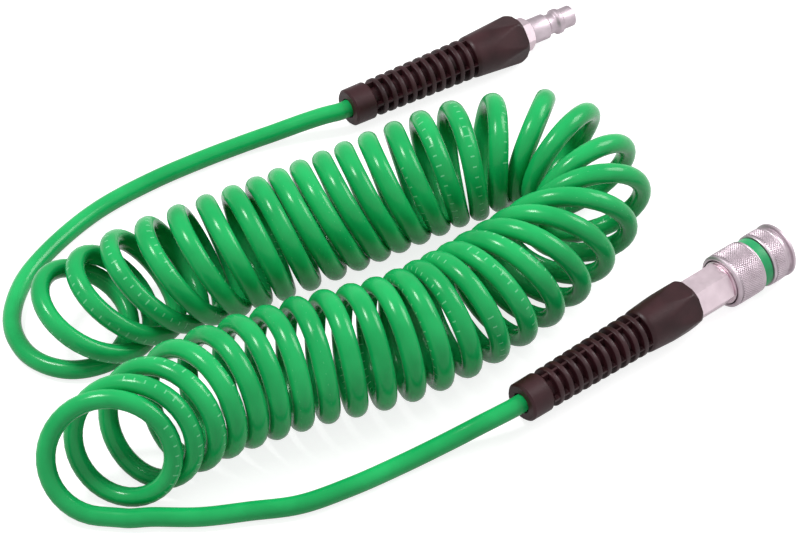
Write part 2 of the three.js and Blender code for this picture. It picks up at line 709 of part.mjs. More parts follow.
/** A group at a place, turned to a heading and rolled about its own axis. */
function placed([x, y, z], heading, roll, pieces) {
  const group = new THREE.Group();
  group.position.set(x, y, z);
  group.rotation.set(THREE.MathUtils.degToRad(roll), 0, THREE.MathUtils.degToRad(heading), 'ZYX');
  group.updateMatrix();
  group.add(...pieces);
  return group;
}

const couplerHeight = sleeveLipDiameter / 2;
const coupler = placed([...couplerMouth, couplerHeight], couplerHeading, 0, couplerPieces());
const bootFront = new THREE.Vector3(couplerFront, 0, 0).applyMatrix4(coupler.matrix);
const couplerJoint = placed(bootFront.toArray(), couplerHeading, couplerRoll, jointPieces('coupler'));
const plugJoint = placed([...plugFront, plugHeight], plugHeading, plugRoll, [
  ...jointPieces('plug'),
  piece('plug_nipple', plugNipple(), 'steel'),
]);
const hose = [
  piece('hose_coil', hoseCoil(), 'hose'),
  piece('plug_hose_tail', hoseTail(coilLead(firstTurn, -1), plugTailPoints, plugJoint), 'hose'),
  piece('coupler_hose_tail', hoseTail(coilLead(lastTurn, 1), couplerTailPoints, couplerJoint), 'hose'),
];

console.log(`coil: least gap between turns ${coilGap().toFixed(2)} mm`);

const assembly = new THREE.Group();
assembly.add(...hose, plugJoint, couplerJoint, coupler);
assembly.rotation.z = -THREE.MathUtils.degToRad(couplerHeading);
const box = new THREE.Box3().setFromObject(assembly, true);
assembly.position.set(-(box.min.x + box.max.x) / 2, -(box.min.y + box.max.y) / 2, 0);
console.log(`the drawing's zero lies at ${assembly.position.x.toFixed(3)}, ${assembly.position.y.toFixed(3)}`);

export default assembly;
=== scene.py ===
"""A coiled air hose lying on a pale bench, with a plug on one end and a quick coupler on the other.

The wound hose follows one formula through a short list of stations, and each fitting is a small family
of turned and six-sided parts. Lengths in the classes are millimetres. The lie of the hose is drawn in its
own plan, and `Layout` carries that plan and each fitting's axis to the part's own frame.
"""

from __future__ import annotations

import json
import logging
import math
from dataclasses import dataclass, field
from enum import Enum
from typing import Callable, Iterable, Optional, Sequence, TypeVar, Union

import bmesh
import bpy
from mathutils import Matrix, Vector

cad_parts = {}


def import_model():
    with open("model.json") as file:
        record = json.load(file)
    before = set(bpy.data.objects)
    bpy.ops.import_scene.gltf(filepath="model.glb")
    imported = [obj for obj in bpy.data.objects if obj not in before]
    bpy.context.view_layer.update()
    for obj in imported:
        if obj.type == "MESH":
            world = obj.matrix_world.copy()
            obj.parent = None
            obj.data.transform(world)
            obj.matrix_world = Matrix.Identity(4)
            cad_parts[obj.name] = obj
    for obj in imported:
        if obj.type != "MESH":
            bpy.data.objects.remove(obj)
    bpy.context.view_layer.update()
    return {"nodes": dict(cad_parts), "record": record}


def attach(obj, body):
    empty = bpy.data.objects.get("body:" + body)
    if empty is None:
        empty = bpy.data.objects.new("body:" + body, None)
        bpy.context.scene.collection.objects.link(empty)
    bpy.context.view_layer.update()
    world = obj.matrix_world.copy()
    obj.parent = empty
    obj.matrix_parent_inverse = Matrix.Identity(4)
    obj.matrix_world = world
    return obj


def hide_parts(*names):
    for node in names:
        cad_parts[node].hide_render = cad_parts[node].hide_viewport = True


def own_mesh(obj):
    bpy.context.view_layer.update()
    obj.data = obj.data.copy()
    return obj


logging.basicConfig(level=logging.INFO, format="%(message)s")
log = logging.getLogger("air_hose")

MM = 0.001
WELD = 1e-4
RIGHT_ANGLE = math.pi / 2.0
FULL_TURN = 2.0 * math.pi

Socket = bpy.types.NodeSocket
Value = Union[bpy.types.NodeSocket, float]
Tint = tuple[float, float, float]
Profile = Sequence[tuple[float, float]]
Blend = TypeVar("Blend", float, Vector)

# ------------------------------------------------ layout


@dataclass(frozen=True)
class Layout:
    """Where the plan's zero lies in the part's own frame, and where the two fittings lie in the plan."""

    zero_x: float = 139.391
    zero_y: float = -106.579
    turn: float = -1.2
    mouth_x: float = 0.7
    mouth_y: float = 2.1
    coupler_height: float = 12.2
    coupler_heading: float = 1.2
    coupler_roll: float = 90.0
    guard_front: float = -53.8
    plug_x: float = 10.3
    plug_y: float = 185.0
    plug_height: float = 11.1
    plug_heading: float = -5.4
    plug_roll: float = 78.0

    def shifted(self, x: float, y: float, z: float) -> Vector:
        """Carry a point of the plan to the part's frame, still in millimetres."""
        turned = Matrix.Rotation(math.radians(self.turn), 4, "Z") @ Vector((x, y, z))
        return turned + Vector((self.zero_x, self.zero_y, 0.0))

    def axis(self, x: float, y: float, z: float, heading: float) -> Matrix:
        """Set a fitting's own frame at a point of the plan, along a heading in degrees."""
        turned = Matrix.Rotation(math.radians(self.turn + heading), 4, "Z")
        return Matrix.Translation(self.shifted(x, y, z)) @ turned

    def coupler(self, x: float = 0.0, roll: float = 0.0) -> Matrix:
        """Place a part on the coupler's axis.

        Args:
            x: Distance of the part's own zero from the mouth.
            roll: Turn about the axis, in degrees.

        Returns:
            The matrix from the fitting's own millimetres to those of the part's frame.
        """
        mouth = self.axis(self.mouth_x, self.mouth_y, self.coupler_height, self.coupler_heading)
        return mouth @ Matrix.Translation((x, 0.0, 0.0)) @ Matrix.Rotation(math.radians(roll), 4, "X")

    def plug(self) -> Matrix:
        """Place a part on the plug's axis, measured from the front of its bend guard."""
        front = self.axis(self.plug_x, self.plug_y, self.plug_height, self.plug_heading)
        return front @ Matrix.Rotation(math.radians(self.plug_roll), 4, "X")


LAYOUT = Layout()


# ------------------------------------------------ meshes


class Face(Enum):
    """How a ring of points is laid out round the axis."""

    ROUND = "round"
    HEX = "hex"


@dataclass(frozen=True)
class Ring:
    """One station of a turned or six-sided wall.

    Attributes:
        x: Place along the axis.
        radius: Radius, or the cap on a hexagon's corners.
        flats: Width across flats where the wall is six-sided, or None.
        webbed: Whether thin webs cross the wall here.
    """

    x: float
    radius: float
    flats: Optional[float] = None
    webbed: bool = False

    def kind(self) -> Face:
        """Tell whether the ring is round or six-sided."""
        return Face.HEX if self.flats else Face.ROUND

    def at(self, angle: float) -> float:
        """Give the radius at an angle from +Z."""
        if self.kind() is Face.ROUND:
            return self.radius
        sector = math.radians(60.0)
        off = (angle % sector) - sector / 2.0
        return min(self.radius, self.flats / 2.0 / math.cos(off))


def rounded(profile: Profile, radius: float) -> list[tuple[float, float]]:
    """Round the corners of a closed profile.

    Args:
        profile: Corners as (x, radius) pairs, in order.
        radius: Size of the rounding; short edges get less.

    Returns:
        The corners with three points in place of each rounded one.
    """
    edge_share = 0.35
    out: list[tuple[float, float]] = []
    count = len(profile)
    for i, (x, r) in enumerate(profile):
        if r <= 0.0:
            out.append((x, r))
            continue
        here = Vector((x, r))
        before = Vector(profile[i - 1]) - here
        after = Vector(profile[(i + 1) % count]) - here
        cut = min(radius, edge_share * before.length, edge_share * after.length)
        a = here + before.normalized() * cut
        b = here + after.normalized() * cut
        middle = (a + b + here * 2.0) / 4.0
        out.extend([tuple(a), tuple(middle), tuple(b)])
    return out


def rings(profile: Iterable[tuple[float, float]], flats: Optional[float] = None) -> list[Ring]:
    """Turn plain (x, radius) pairs into stations, all with the same flats."""
    return [Ring(x, r, flats) for x, r in profile]


def wall(
    stations: Sequence[Ring], sides: int = 96, lift: Optional[Callable[[Ring, float], float]] = None,
) -> bmesh.types.BMesh:
    """Build a closed wall about the X axis.

    Args:
        stations: The profile in order. It starts and ends on the axis, or closes on itself.
        sides: Points round each ring.
        lift: Optional rule that gives a ring's radius at an angle.

    Returns:
        The mesh, in millimetres.
    """
    mesh = bmesh.new()
    loops: list[list[bmesh.types.BMVert]] = []
    for station in stations:
        if station.radius <= 0.0:
            loops.append([mesh.verts.new((station.x, 0.0, 0.0))])
            continue
        loop = []
        for i in range(sides):
            angle = FULL_TURN * i / sides
            radius = lift(station, angle) if lift else station.at(angle)
            loop.append(mesh.verts.new((station.x, -radius * math.sin(angle), radius * math.cos(angle))))
        loops.append(loop)
    pairs = list(zip(loops, loops[1:]))
    if len(loops[0]) > 1:
        pairs.append((loops[-1], loops[0]))
    for first, second in pairs:
        for i in range(sides):
            j = (i + 1) % sides
            corners = [loop[k % len(loop)] for loop, k in ((first, i), (first, j), (second, j), (second, i))]
            unique = list(dict.fromkeys(corners))
            if len(unique) > 2:
                mesh.faces.new(unique)
    bmesh.ops.remove_doubles(mesh, verts=mesh.verts[:], dist=WELD)
    bmesh.ops.recalc_face_normals(mesh, faces=mesh.faces[:])
    return mesh


def linked(name: str, data: bpy.types.ID) -> bpy.types.Object:
    """Make an object of some data and link it to the scene."""
    obj = bpy.data.objects.new(name, data)
    bpy.context.scene.collection.objects.link(obj)
    return obj


def shade(data: bpy.types.Mesh, sharp: float) -> None:
    """Shade a mesh smooth, but for edges turned by more than this many degrees."""
    for polygon in data.polygons:
        polygon.use_smooth = True
    data.set_sharp_from_angle(angle=math.radians(sharp))


def finished(
    name: str, mesh: bmesh.types.BMesh, place: Matrix, material: bpy.types.Material, sharp: float = 32.0,
) -> bpy.types.Object:
    """Make an object at the origin with its place in its mesh.

    Args:
        name: The object's name.
        mesh: The shape in millimetres; it is freed.
        place: Matrix from those to the part's frame, still in millimetres.
        material: The finish.
        sharp: Edges turned by more than this many degrees stay sharp.

    Returns:
        The linked object.
    """
    mesh.transform(Matrix.Scale(MM, 4) @ place)
    data = bpy.data.meshes.new(name)
    mesh.to_mesh(data)
    mesh.free()
    shade(data, sharp)
    data.materials.append(material)
    return linked(name, data)


def tie(piece: bpy.types.Object, node: str, body: str) -> bpy.types.Object:
    """Tie a piece to what the record says of it.

    Args:
        piece: The piece.
        node: The CAD node that it stands for.
        body: The body that it rides on.

    Returns:
        The piece.
    """
    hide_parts(node)
    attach(piece, body)
    return piece


# ------------------------------------------------ wiring


class Wiring:
    """A small hand for wiring one node tree."""

    def __init__(self, tree: bpy.types.NodeTree) -> None:
        """Take a tree in hand."""
        self.tree = tree

    def put(self, value: object, slot: Socket) -> None:
        """Link a socket to an input, or set the input to a plain value."""
        if isinstance(value, Socket):
            self.tree.links.new(value, slot)
        else:
            slot.default_value = value

    def node(self, kind: str, **values: object) -> bpy.types.Node:
        """Add a node.

        Args:
            kind: The node's type.
            **values: Its attributes, or its inputs with _ for each space, as plain values or sockets.

        Returns:
            The node.
        """
        made = self.tree.nodes.new(kind)
        for key, value in values.items():
            label = key.replace("_", " ")
            if label in made.inputs:
                self.put(value, made.inputs[label])
            else:
                setattr(made, key, value)
        return made

    def work(self, how: str, a: Value, b: Value = 0.0) -> Socket:
        """Work out one step of arithmetic.

        Args:
            how: The Math node's operation.
            a: First value or socket.
            b: Second value or socket.

        Returns:
            The result's socket.
        """
        made = self.node("ShaderNodeMath", operation=how)
        self.put(a, made.inputs[0])
        self.put(b, made.inputs[1])
        return made.outputs[0]

    def vector(self, *parts: Value) -> Socket:
        """Join three values into a vector."""
        made = self.node("ShaderNodeCombineXYZ")
        for slot, value in zip(made.inputs, parts):
            self.put(value, slot)
        return made.outputs[0]


class Shader(Wiring):
    """One material, wired round its Principled shader."""

    def __init__(self, name: str) -> None:
        """Start a material by its name."""
        self.material = bpy.data.materials.new(name)
        self.material.use_nodes = True
        super().__init__(self.material.node_tree)
        self.surface = self.tree.nodes["Principled BSDF"]
        self.where = self.node("ShaderNodeTexCoord").outputs["Object"]

    def noise(self, scale: float, detail: float, stretch: tuple[float, float, float] = (1, 1, 1)) -> Socket:
        """Add noise on Object coordinates.

        Args:
            scale: Size of the pattern, per metre.
            detail: How many finer layers it has.
            stretch: Scale along each axis.

        Returns:
            The noise, 0 to 1.
        """
        mapping = self.node("ShaderNodeMapping", Vector=self.where, Scale=stretch)
        made = self.node("ShaderNodeTexNoise", Scale=scale, Detail=detail, Vector=mapping.outputs["Vector"])
        return made.outputs["Fac"]

    def attribute(self, name: str) -> Socket:
        """Read a value kept on the mesh."""
        return self.node("ShaderNodeAttribute", attribute_name=name).outputs["Fac"]

    def apart(self, a: Value, b: Value) -> Socket:
        """Distance between two values."""
        return self.work("ABSOLUTE", self.work("SUBTRACT", a, b))

    def ramp(self, source: Socket, stops: Sequence[tuple[float, Tint]]) -> Socket:
        """Colour a value by stops, each a position and a linear colour."""
        made = self.node("ShaderNodeValToRGB", Fac=source)
        for element, (position, colour) in zip(made.color_ramp.elements, stops):
            element.position = position
            element.color = (*colour, 1.0)
        return made.outputs["Color"]

    def spread(self, source: Socket, low: float, high: float) -> Socket:
        """Map a 0 to 1 value onto a range."""
        return self.node("ShaderNodeMapRange", Value=source, To_Min=low, To_Max=high).outputs["Result"]

    def blend(self, share: Socket, under: Socket, over: Tint) -> Socket:
        """Lay a plain colour over another by a share.

        Args:
            share: How much of the plain colour shows, 0 to 1.
            under: The colour under it.
            over: The plain colour, linear.

        Returns:
            The mixed colour's socket.
        """
        factor, first, second = 0, 6, 7
        made = self.node("ShaderNodeMix", data_type="RGBA")
        for slot, value in ((factor, share), (first, under), (second, (*over, 1.0))):
            self.put(value, made.inputs[slot])
        return made.outputs[2]

    def bump(self, height: Socket, strength: float, distance: float) -> None:
        """Raise the surface by a 0 to 1 height, up to a distance in metres."""
        made = self.node("ShaderNodeBump", Strength=strength, Distance=distance, Height=height)
        self.set(Normal=made.outputs["Normal"])

    def set(self, **values: object) -> None:
        """Set or link the Principled shader's inputs, with _ for each space in an input's name."""
        for key, value in values.items():
            self.put(value, self.surface.inputs[key.replace("_", " ")])


class GeometryTree(Wiring):
    """A Geometry Nodes tree that ends in Realize Instances and Set Material."""

    def __init__(self, name: str) -> None:
        """Start an empty tree by its name."""
        super().__init__(bpy.data.node_groups.new(name, "GeometryNodeTree"))
        for way in ("INPUT", "OUTPUT"):
            self.tree.interface.new_socket("Geometry", in_out=way, socket_type="NodeSocketGeometry")
        self.values: dict[str, float | int] = {}
        self.entry = self.node("NodeGroupInput")
        self.exit = self.node("NodeGroupOutput")

    def size(self, name: str, value: float | int) -> Socket:
        """Add a named input.

        Args:
            name: The input's name.
            value: The value it gets; a whole number makes a whole-number input.

        Returns:
            Its socket inside the tree.
        """
        kind = "NodeSocketInt" if isinstance(value, int) else "NodeSocketFloat"
        self.tree.interface.new_socket(name, in_out="INPUT", socket_type=kind)
        self.values[name] = value
        return self.entry.outputs[name]

    def circle(self, radius: Socket, steps: Value) -> Socket:
        """Draw a circle with this many points."""
        made = self.node("GeometryNodeCurvePrimitiveCircle", mode="RADIUS", Radius=radius, Resolution=steps)
        return made.outputs["Curve"]

    def mark(self, name: str, curve: Socket, value: Socket) -> Socket:
        """Keep a value on a curve's points under a name.

        Args:
            name: The name.
            curve: The curve.
            value: The value.

        Returns:
            The curve with its value.
        """
        made = self.node("GeometryNodeStoreNamedAttribute", data_type="FLOAT", domain="POINT", Name=name)
        self.put(curve, made.inputs["Geometry"])
        self.put(value, made.inputs["Value"])
        return made.outputs["Geometry"]

    def sweep(self, curve: Socket, section: Socket, capped: bool = True) -> Socket:
        """Sweep a section along a curve."""
        made = self.node("GeometryNodeCurveToMesh", Curve=curve, Profile_Curve=section, Fill_Caps=capped)
        return made.outputs["Mesh"]

    def stand(self, geometry: Socket, x: float = 0.0) -> Socket:
        """Turn a shape from the Z axis to the X axis, and move it along that.

        Args:
            geometry: The shape, about Z.
            x: Where its zero goes on X.

        Returns:
            The moved shape.
        """
        made = self.node("GeometryNodeTransform", Geometry=geometry)
        made.inputs["Rotation"].default_value = (0.0, RIGHT_ANGLE, 0.0)
        made.inputs["Translation"].default_value = (x, 0.0, 0.0)
        return made.outputs["Geometry"]

    def close(self, geometry: Socket, material: bpy.types.Material) -> GeometryTree:
        """End the tree with its geometry and finish, and hand it back.

        Args:
            geometry: What the tree makes.
            material: Its finish.

        Returns:
            The tree.
        """
        real = self.node("GeometryNodeRealizeInstances", Geometry=geometry)
        dress = self.node("GeometryNodeSetMaterial", Geometry=real.outputs["Geometry"], Material=material)
        self.put(dress.outputs["Geometry"], self.exit.inputs["Geometry"])
        return self

    def result(self, source: Optional[bpy.types.ID] = None) -> bpy.types.Mesh:
        """Run the tree and take the result as a plain mesh.

        Args:
            source: The mesh or curve that the tree starts from, or None for nothing.

        Returns:
            The plain mesh.
        """
        holder = linked("holder", source or bpy.data.meshes.new("empty"))
        modifier = holder.modifiers.new("tree", "NODES")
        modifier.node_group = self.tree
        for item in self.tree.interface.items_tree:
            if item.in_out == "INPUT" and item.name in self.values:
                modifier[item.identifier] = self.values[item.name]
        graph = bpy.context.evaluated_depsgraph_get()
        made = bpy.data.meshes.new_from_object(holder.evaluated_get(graph), depsgraph=graph)
        bpy.data.objects.remove(holder)
        return made


# ------------------------------------------------ finishes


def tint(red: float, green: float, blue: float) -> Tint:
    """Turn 0 to 255 screen values into the linear colour that a shader takes."""
    shares = (red / 255.0, green / 255.0, blue / 255.0)
    r, g, b = (share / 12.92 if share <= 0.04045 else ((share + 0.055) / 1.055) ** 2.4 for share in shares)
    return r, g, b


@dataclass(frozen=True)
class TickRow:
    """A printed row of plain pale ticks along the hose, in millimetres.

    Attributes:
        pitch: Distance from one tick to the next.
        tall_every: How many ticks lie from one tall tick to the next.
        width: Width of a tick along the hose.
        height: Height of a short tick; a tall one is half as high again.
        group: Distance from one run of ticks to the next.
        share: Part of that distance that carries ticks.
        place: Where the row runs round the tube, 0 to 1.
        middle: Middle of the printed stretch, along the hose.
        reach: How far the print goes to either side of the middle; the two free ends are bare.
    """

    pitch: float = 4.0
    tall_every: float = 5.0
    width: float = 0.55
    height: float = 1.6
    group: float = 120.0
    share: float = 0.8
    place: float = 0.5
    middle: float = 3270.0
    reach: float = 2930.0

    def mask(self, shader: Shader, round_the_tube: float) -> Socket:
        """Wire a value that is 1 on the ticks.

        Args:
            shader: The material's hand.
            round_the_tube: Length once round the tube, in millimetres.

        Returns:
            The socket.
        """
        place = shader.work("MULTIPLY", shader.attribute("along"), 1.0 / MM)
        repeats = (
            (self.pitch, self.width),
            (self.group, self.group * self.share),
            (self.pitch * self.tall_every, self.width),
        )
        tick, run, tall = (
            shader.work("LESS_THAN", shader.work("MODULO", place, length), part) for length, part in repeats
        )
        half = shader.work("MULTIPLY", shader.work("ADD", tall, 2.0), self.height / 4.0)
        off = shader.work("MULTIPLY", shader.apart(shader.attribute("around"), self.place), round_the_tube)
        low = shader.work("LESS_THAN", off, half)
        wound = shader.work("LESS_THAN", shader.apart(place, self.middle), self.reach)
        return shader.work("MULTIPLY", shader.work("MULTIPLY", tick, run), shader.work("MULTIPLY", low, wound))


@dataclass(frozen=True)
class DrawnPolyurethane:
    """The hose's clear glossy green, a little mottled, with its row of ticks."""

    name: str = "hose_polyurethane"
    light: Tint = tint(30, 178, 96)
    deep: Tint = tint(16, 158, 82)
    ink: Tint = tint(132, 214, 164)
    roughness: float = 0.2
    round_the_tube: float = 8.0 * math.pi
    ticks: TickRow = TickRow()

    def build(self) -> bpy.types.Material:
        """Wire the material and return it."""
        shader = Shader(self.name)
        colour = shader.ramp(shader.noise(scale=38.0, detail=3.0), [(0.35, self.deep), (0.65, self.light)])
        wear = shader.spread(shader.noise(scale=700.0, detail=2.0), low=0.35, high=0.85)
        shown = shader.work("MULTIPLY", self.ticks.mask(shader, self.round_the_tube), wear)
        grain = shader.noise(scale=900.0, detail=2.0)
        gloss = shader.spread(grain, low=self.roughness - 0.02, high=self.roughness + 0.04)
        shader.set(Base_Color=shader.blend(shown, colour, self.ink), Roughness=gloss)
        shader.bump(shader.noise(scale=120.0, detail=1.0), strength=0.1, distance=0.0005)
        shader.set(IOR=1.5, Specular_IOR_Level=0.25)
        return shader.material


@dataclass(frozen=True)
class Mottled:
    """What the rubber and the metal share: a clouded colour and a grained roughness.

    Attributes:
        name: The material's name.
        light: Colour of the worn or bright parts.
        dark: Colour of the rest.
        roughness: Middle roughness.
    """

    name: str
    light: Tint
    dark: Tint
    roughness: float

    def start(self, cloud: float, grain: float, fineness: float) -> tuple[Shader, Socket]:
        """Wire the colour and the roughness.

        Args:
            cloud: Scale of the clouds in the colour, per metre.
            grain: Scale of the grain in the roughness, per metre.
            fineness: How many finer layers the grain has.

        Returns:
            The material's hand and the grain.
        """
        shader = Shader(self.name)
        colour = shader.ramp(shader.noise(cloud, detail=5.0), [(0.3, self.dark), (0.7, self.light)])
        skin = shader.noise(grain, fineness)
        dull = shader.spread(skin, low=self.roughness - 0.08, high=self.roughness + 0.12)
        shader.set(Base_Color=colour, Roughness=dull)
        return shader, skin


@dataclass(frozen=True)
class MouldedRubber(Mottled):
    """Rubber with a fine moulded skin."""

    def build(self) -> bpy.types.Material:
        """Wire the material and return it."""
        shader, skin = self.start(cloud=90.0, grain=1400.0, fineness=3.0)
        shader.bump(skin, strength=0.25, distance=0.00015)
        shader.set(IOR=1.5, Specular_IOR_Level=0.3)
        return shader.material


@dataclass(frozen=True)
class TurnedMetal(Mottled):
    """Metal with fine tool lines across one axis.

    Attributes:
        lines: Density of the tool lines along X, per metre.
        relief: How strongly the tool lines show.
    """

    lines: float = 900.0
    relief: float = 0.12

    def build(self) -> bpy.types.Material:
        """Wire the material and return it."""
        shader, _ = self.start(cloud=160.0, grain=420.0, fineness=4.0)
        tool_lines = shader.noise(scale=1.0, detail=2.0, stretch=(self.lines, 20.0, 20.0))
        shader.bump(tool_lines, strength=self.relief, distance=0.0001)
        shader.set(Metallic=1.0)
        return shader.material


def made_of(finish: DrawnPolyurethane | MouldedRubber | TurnedMetal) -> bpy.types.Material:
    """Declare a field whose material is wired when the object's materials are made."""
    return field(default_factory=finish.build)


@dataclass
class Finishes:
    """Every material of the object."""

    hose: bpy.types.Material = made_of(DrawnPolyurethane())
    guard: bpy.types.Material = made_of(MouldedRubber("guard_rubber", tint(57, 26, 31), tint(36, 9, 14), 0.4))
    seal: bpy.types.Material = made_of(MouldedRubber("seal_nitrile", tint(34, 33, 34), tint(20, 20, 21), 0.55))
    band: bpy.types.Material = made_of(MouldedRubber("band_green", tint(46, 166, 104), tint(34, 148, 90), 0.36))
    plated: bpy.types.Material = made_of(
        TurnedMetal("plated_steel", tint(206, 192, 200), tint(182, 168, 176), 0.46)
    )
    hexagon: bpy.types.Material = made_of(
        TurnedMetal("plated_hexagon", tint(232, 214, 222), tint(218, 200, 208), 0.42, 300.0)
    )
    spring: bpy.types.Material = made_of(
        TurnedMetal("spring_steel", tint(168, 168, 170), tint(140, 140, 143), 0.32)
    )
    ball: bpy.types.Material = made_of(
        TurnedMetal("ball_steel", tint(214, 214, 216), tint(200, 200, 203), 0.14, 200.0, 0.02)
    )
    brass: bpy.types.Material = made_of(TurnedMetal("turned_brass", tint(206, 178, 110), tint(180, 150, 84), 0.28))


# ------------------------------------------------ hose


def eased(u: float, start: Blend, leave: Blend, end: Blend, arrive: Blend) -> Blend:
    """Go from one value to the next by a cubic.

    Args:
        u: Share of the way, 0 to 1.
        start: Value at the start.
        leave: Slope there.
        end: Value at the end.
        arrive: Slope there.

    Returns:
        The value at that share.
    """
    return (
        start * (2 * u**3 - 3 * u**2 + 1) + leave * (u**3 - 2 * u**2 + u)
        + end * (3 * u**2 - 2 * u**3) + arrive * (u**3 - u**2)
    )


@dataclass(frozen=True)
class Station:
    """One station of the coil: turn, place of the turn's centre, heading and lean in degrees."""

    turn: float
    x: float
    y: float
    heading: float
    lean: float


@dataclass
class Hose:
    """The whole hose: plug tail, coil and coupler tail, as one tube."""

    diameter: float = 8.0
    turn_radius: float = 23.4
    first_turn: float = 0.5
    last_turn: float = 40.5
    steps_per_turn: int = 40
    sides: int = 20
    sharp: float = 60.0
    route_step: float = 2.5
    flattening: float = 0.11
    pressing: float = 0.25
    least_room: float = 0.1
    guard_length: float = 93.3
    hose_end: float = 16.6
    weld: float = 1e-7
    stations: tuple[Station, ...] = (
        Station(0, -261, 162, -66, -77),
        Station(1, -254, 151.5, -48, -59),
        Station(2.5, -233, 147.5, -32, -46),
        Station(4.5, -208.5, 139.5, -27, -29),
        Station(7, -181, 132, -21, -14),
        Station(10, -146, 128, -22, -21),
        Station(13.5, -107.5, 123.5, -28, -19),
        Station(16.5, -72, 115.5, -35, -2),
        Station(18.5, -44.5, 100.5, -73, 10),
        Station(20.5, -51, 65, -108, 11),
        Station(22.5, -80, 53.5, -143, 12),
        Station(25.5, -121.5, 46.5, -174, 9),
        Station(29.5, -169, 48, -199, 1),
        Station(33.5, -214, 62.5, -202, -1),
        Station(37, -257.5, 71, -178, -5),
        Station(39, -287.5, 71, -149, -15),
        Station(40.5, -307, 69, -130, -23),
    )
    plug_tail: tuple[tuple[float, float, float], ...] = (
        (-265, 133.8, 0), (-271.9, 137.2, 0), (-276.6, 141.8, 0), (-280.3, 148.5, 0), (-282.1, 157, 0),
        (-281, 166.6, 0), (-278, 174.9, 0), (-272.8, 182.8, 0), (-263.5, 192, 0),
        (-252.5, 199.5, 0), (-230.5, 208.5, 0), (-205, 214.5, 0), (-177, 215.5, 0), (-151, 213.5, 0),
        (-126.2, 209.6, 0.4), (-115, 206.1, 1.8), (-103.2, 201.6, 4.2), (-93.3, 197.2, 6.3),
    )
    coupler_tail: tuple[tuple[float, float, float], ...] = (
        (-297.5, 49, 0), (-282, 36.5, 0), (-264.5, 26.5, 0), (-247, 17, 0), (-225.5, 12, 0),
        (-202, 9, 0), (-179, 5.5, 2), (-166, 2, 5.5),
    )

    def station_at(self, turn: float) -> tuple[float, ...]:
        """Read the coil's state at a turn.

        Args:
            turn: Turns from the coil's zero.

        Returns:
            x, y, heading and lean, on a smooth curve through the stations.
        """
        rows = [(s.turn, s.x, s.y, s.heading, s.lean) for s in self.stations]
        i = 0
        while i < len(rows) - 2 and turn >= rows[i + 1][0]:
            i += 1

        def slope(at: int, key: int) -> float:
            """Slope of one column between two stations."""
            return (rows[at + 1][key] - rows[at][key]) / (rows[at + 1][0] - rows[at][0])

        def tangent(at: int, key: int) -> float:
            """Slope of one column at a station."""
            if at == 0:
                return slope(0, key)
            if at == len(rows) - 1:
                return slope(at - 1, key)
            before = rows[at][0] - rows[at - 1][0]
            after = rows[at + 1][0] - rows[at][0]
            return (after * slope(at - 1, key) + before * slope(at, key)) / (before + after)

        span = rows[i + 1][0] - rows[i][0]
        u = (turn - rows[i][0]) / span
        return tuple(
            eased(u, rows[i][key], span * tangent(i, key), rows[i + 1][key], span * tangent(i + 1, key))
            for key in range(1, 5)
        )

    def coil_point(self, turn: float) -> Vector:
        """Centre of the hose at a turn, in the plan's millimetres."""
        x, y, heading, lean = self.station_at(turn)
        a, b = math.radians(heading), math.radians(lean)
        axis = Vector((math.cos(a), math.sin(a), 0.0))
        side = Vector((math.sin(a), -math.cos(a), 0.0))
        up = Vector((0.0, 0.0, math.cos(b))) + axis * math.sin(b)
        angle = FULL_TURN * turn
        centre = Vector((x, y, self.turn_radius * math.cos(b) + self.diameter / 2.0))
        return centre + (up * math.cos(angle) + side * math.sin(angle)) * self.turn_radius

    def coil_lead(self, turn: float, sense: float) -> tuple[Vector, Vector]:
        """Find where the coil's straight end goes over to its tail.

        Args:
            turn: The turn at which the coil ends.
            sense: -1 at its start, 1 at its end.

        Returns:
            The point one diameter on, and the direction.
        """
        nudge = 1e-3
        along = (self.coil_point(turn + nudge) - self.coil_point(turn - nudge)) * sense
        along.z = max(along.z, 0.0)
        along.normalize()
        return self.coil_point(turn) + along * self.diameter, along

    def tail(
        self, turn: float, sense: float, points: Sequence[tuple[float, float, float]], place: Matrix,
    ) -> list[Vector]:
        """Lay one tail from the coil into its fitting.

        Args:
            turn: The turn at which the coil ends.
            sense: -1 at its start, 1 at its end.
            points: Route points, x, y and lift off the floor.
            place: Matrix of the bend guard's front, in millimetres.

        Returns:
            Points a few millimetres apart, in the part's frame.
        """
        half = self.diameter / 2.0
        end, along = self.coil_lead(turn, sense)
        route = [LAYOUT.shifted(*p) for p in (end, end + along * half)]
        route += [LAYOUT.shifted(x, y, half + lift) for x, y, lift in points]
        for x in (-self.guard_length - half, -self.guard_length, -self.guard_length / 2.0, -self.hose_end):
            route.append(place @ Vector((x, 0.0, 0.0)))
        return self.smooth(route, self.route_step)

    @staticmethod
    def smooth(points: Sequence[Vector], step: float) -> list[Vector]:
        """Lay a centripetal spline through points.

        Args:
            points: The points to pass through.
            step: Distance between the points returned.

        Returns:
            Points along the spline, both ends with them.
        """
        guarded = [points[0] * 2 - points[1], *points, points[-1] * 2 - points[-2]]
        out: list[Vector] = []
        for p0, p1, p2, p3 in zip(guarded, guarded[1:], guarded[2:], guarded[3:]):
            d0, d1, d2 = ((b - a).length ** 0.5 for a, b in ((p0, p1), (p1, p2), (p2, p3)))
            t1 = ((p1 - p0) / d0 - (p2 - p0) / (d0 + d1) + (p2 - p1) / d1) * d1
            t2 = ((p2 - p1) / d1 - (p3 - p1) / (d1 + d2) + (p3 - p2) / d2) * d1
            count = max(2, round((p2 - p1).length / step))
            out += [eased(k / count, p1, t1, p2, t2) for k in range(count)]
        return [*out, points[-1]]

    def coil_steps(self) -> int:
        """Count the steps of the coil's centre line."""
        return round((self.last_turn - self.first_turn) * self.steps_per_turn)

    def coupler_end(self) -> list[Vector]:
        """Lay the tail that goes into the coupler, from the coil."""
        return self.tail(self.last_turn, 1.0, self.coupler_tail, LAYOUT.coupler(LAYOUT.guard_front))

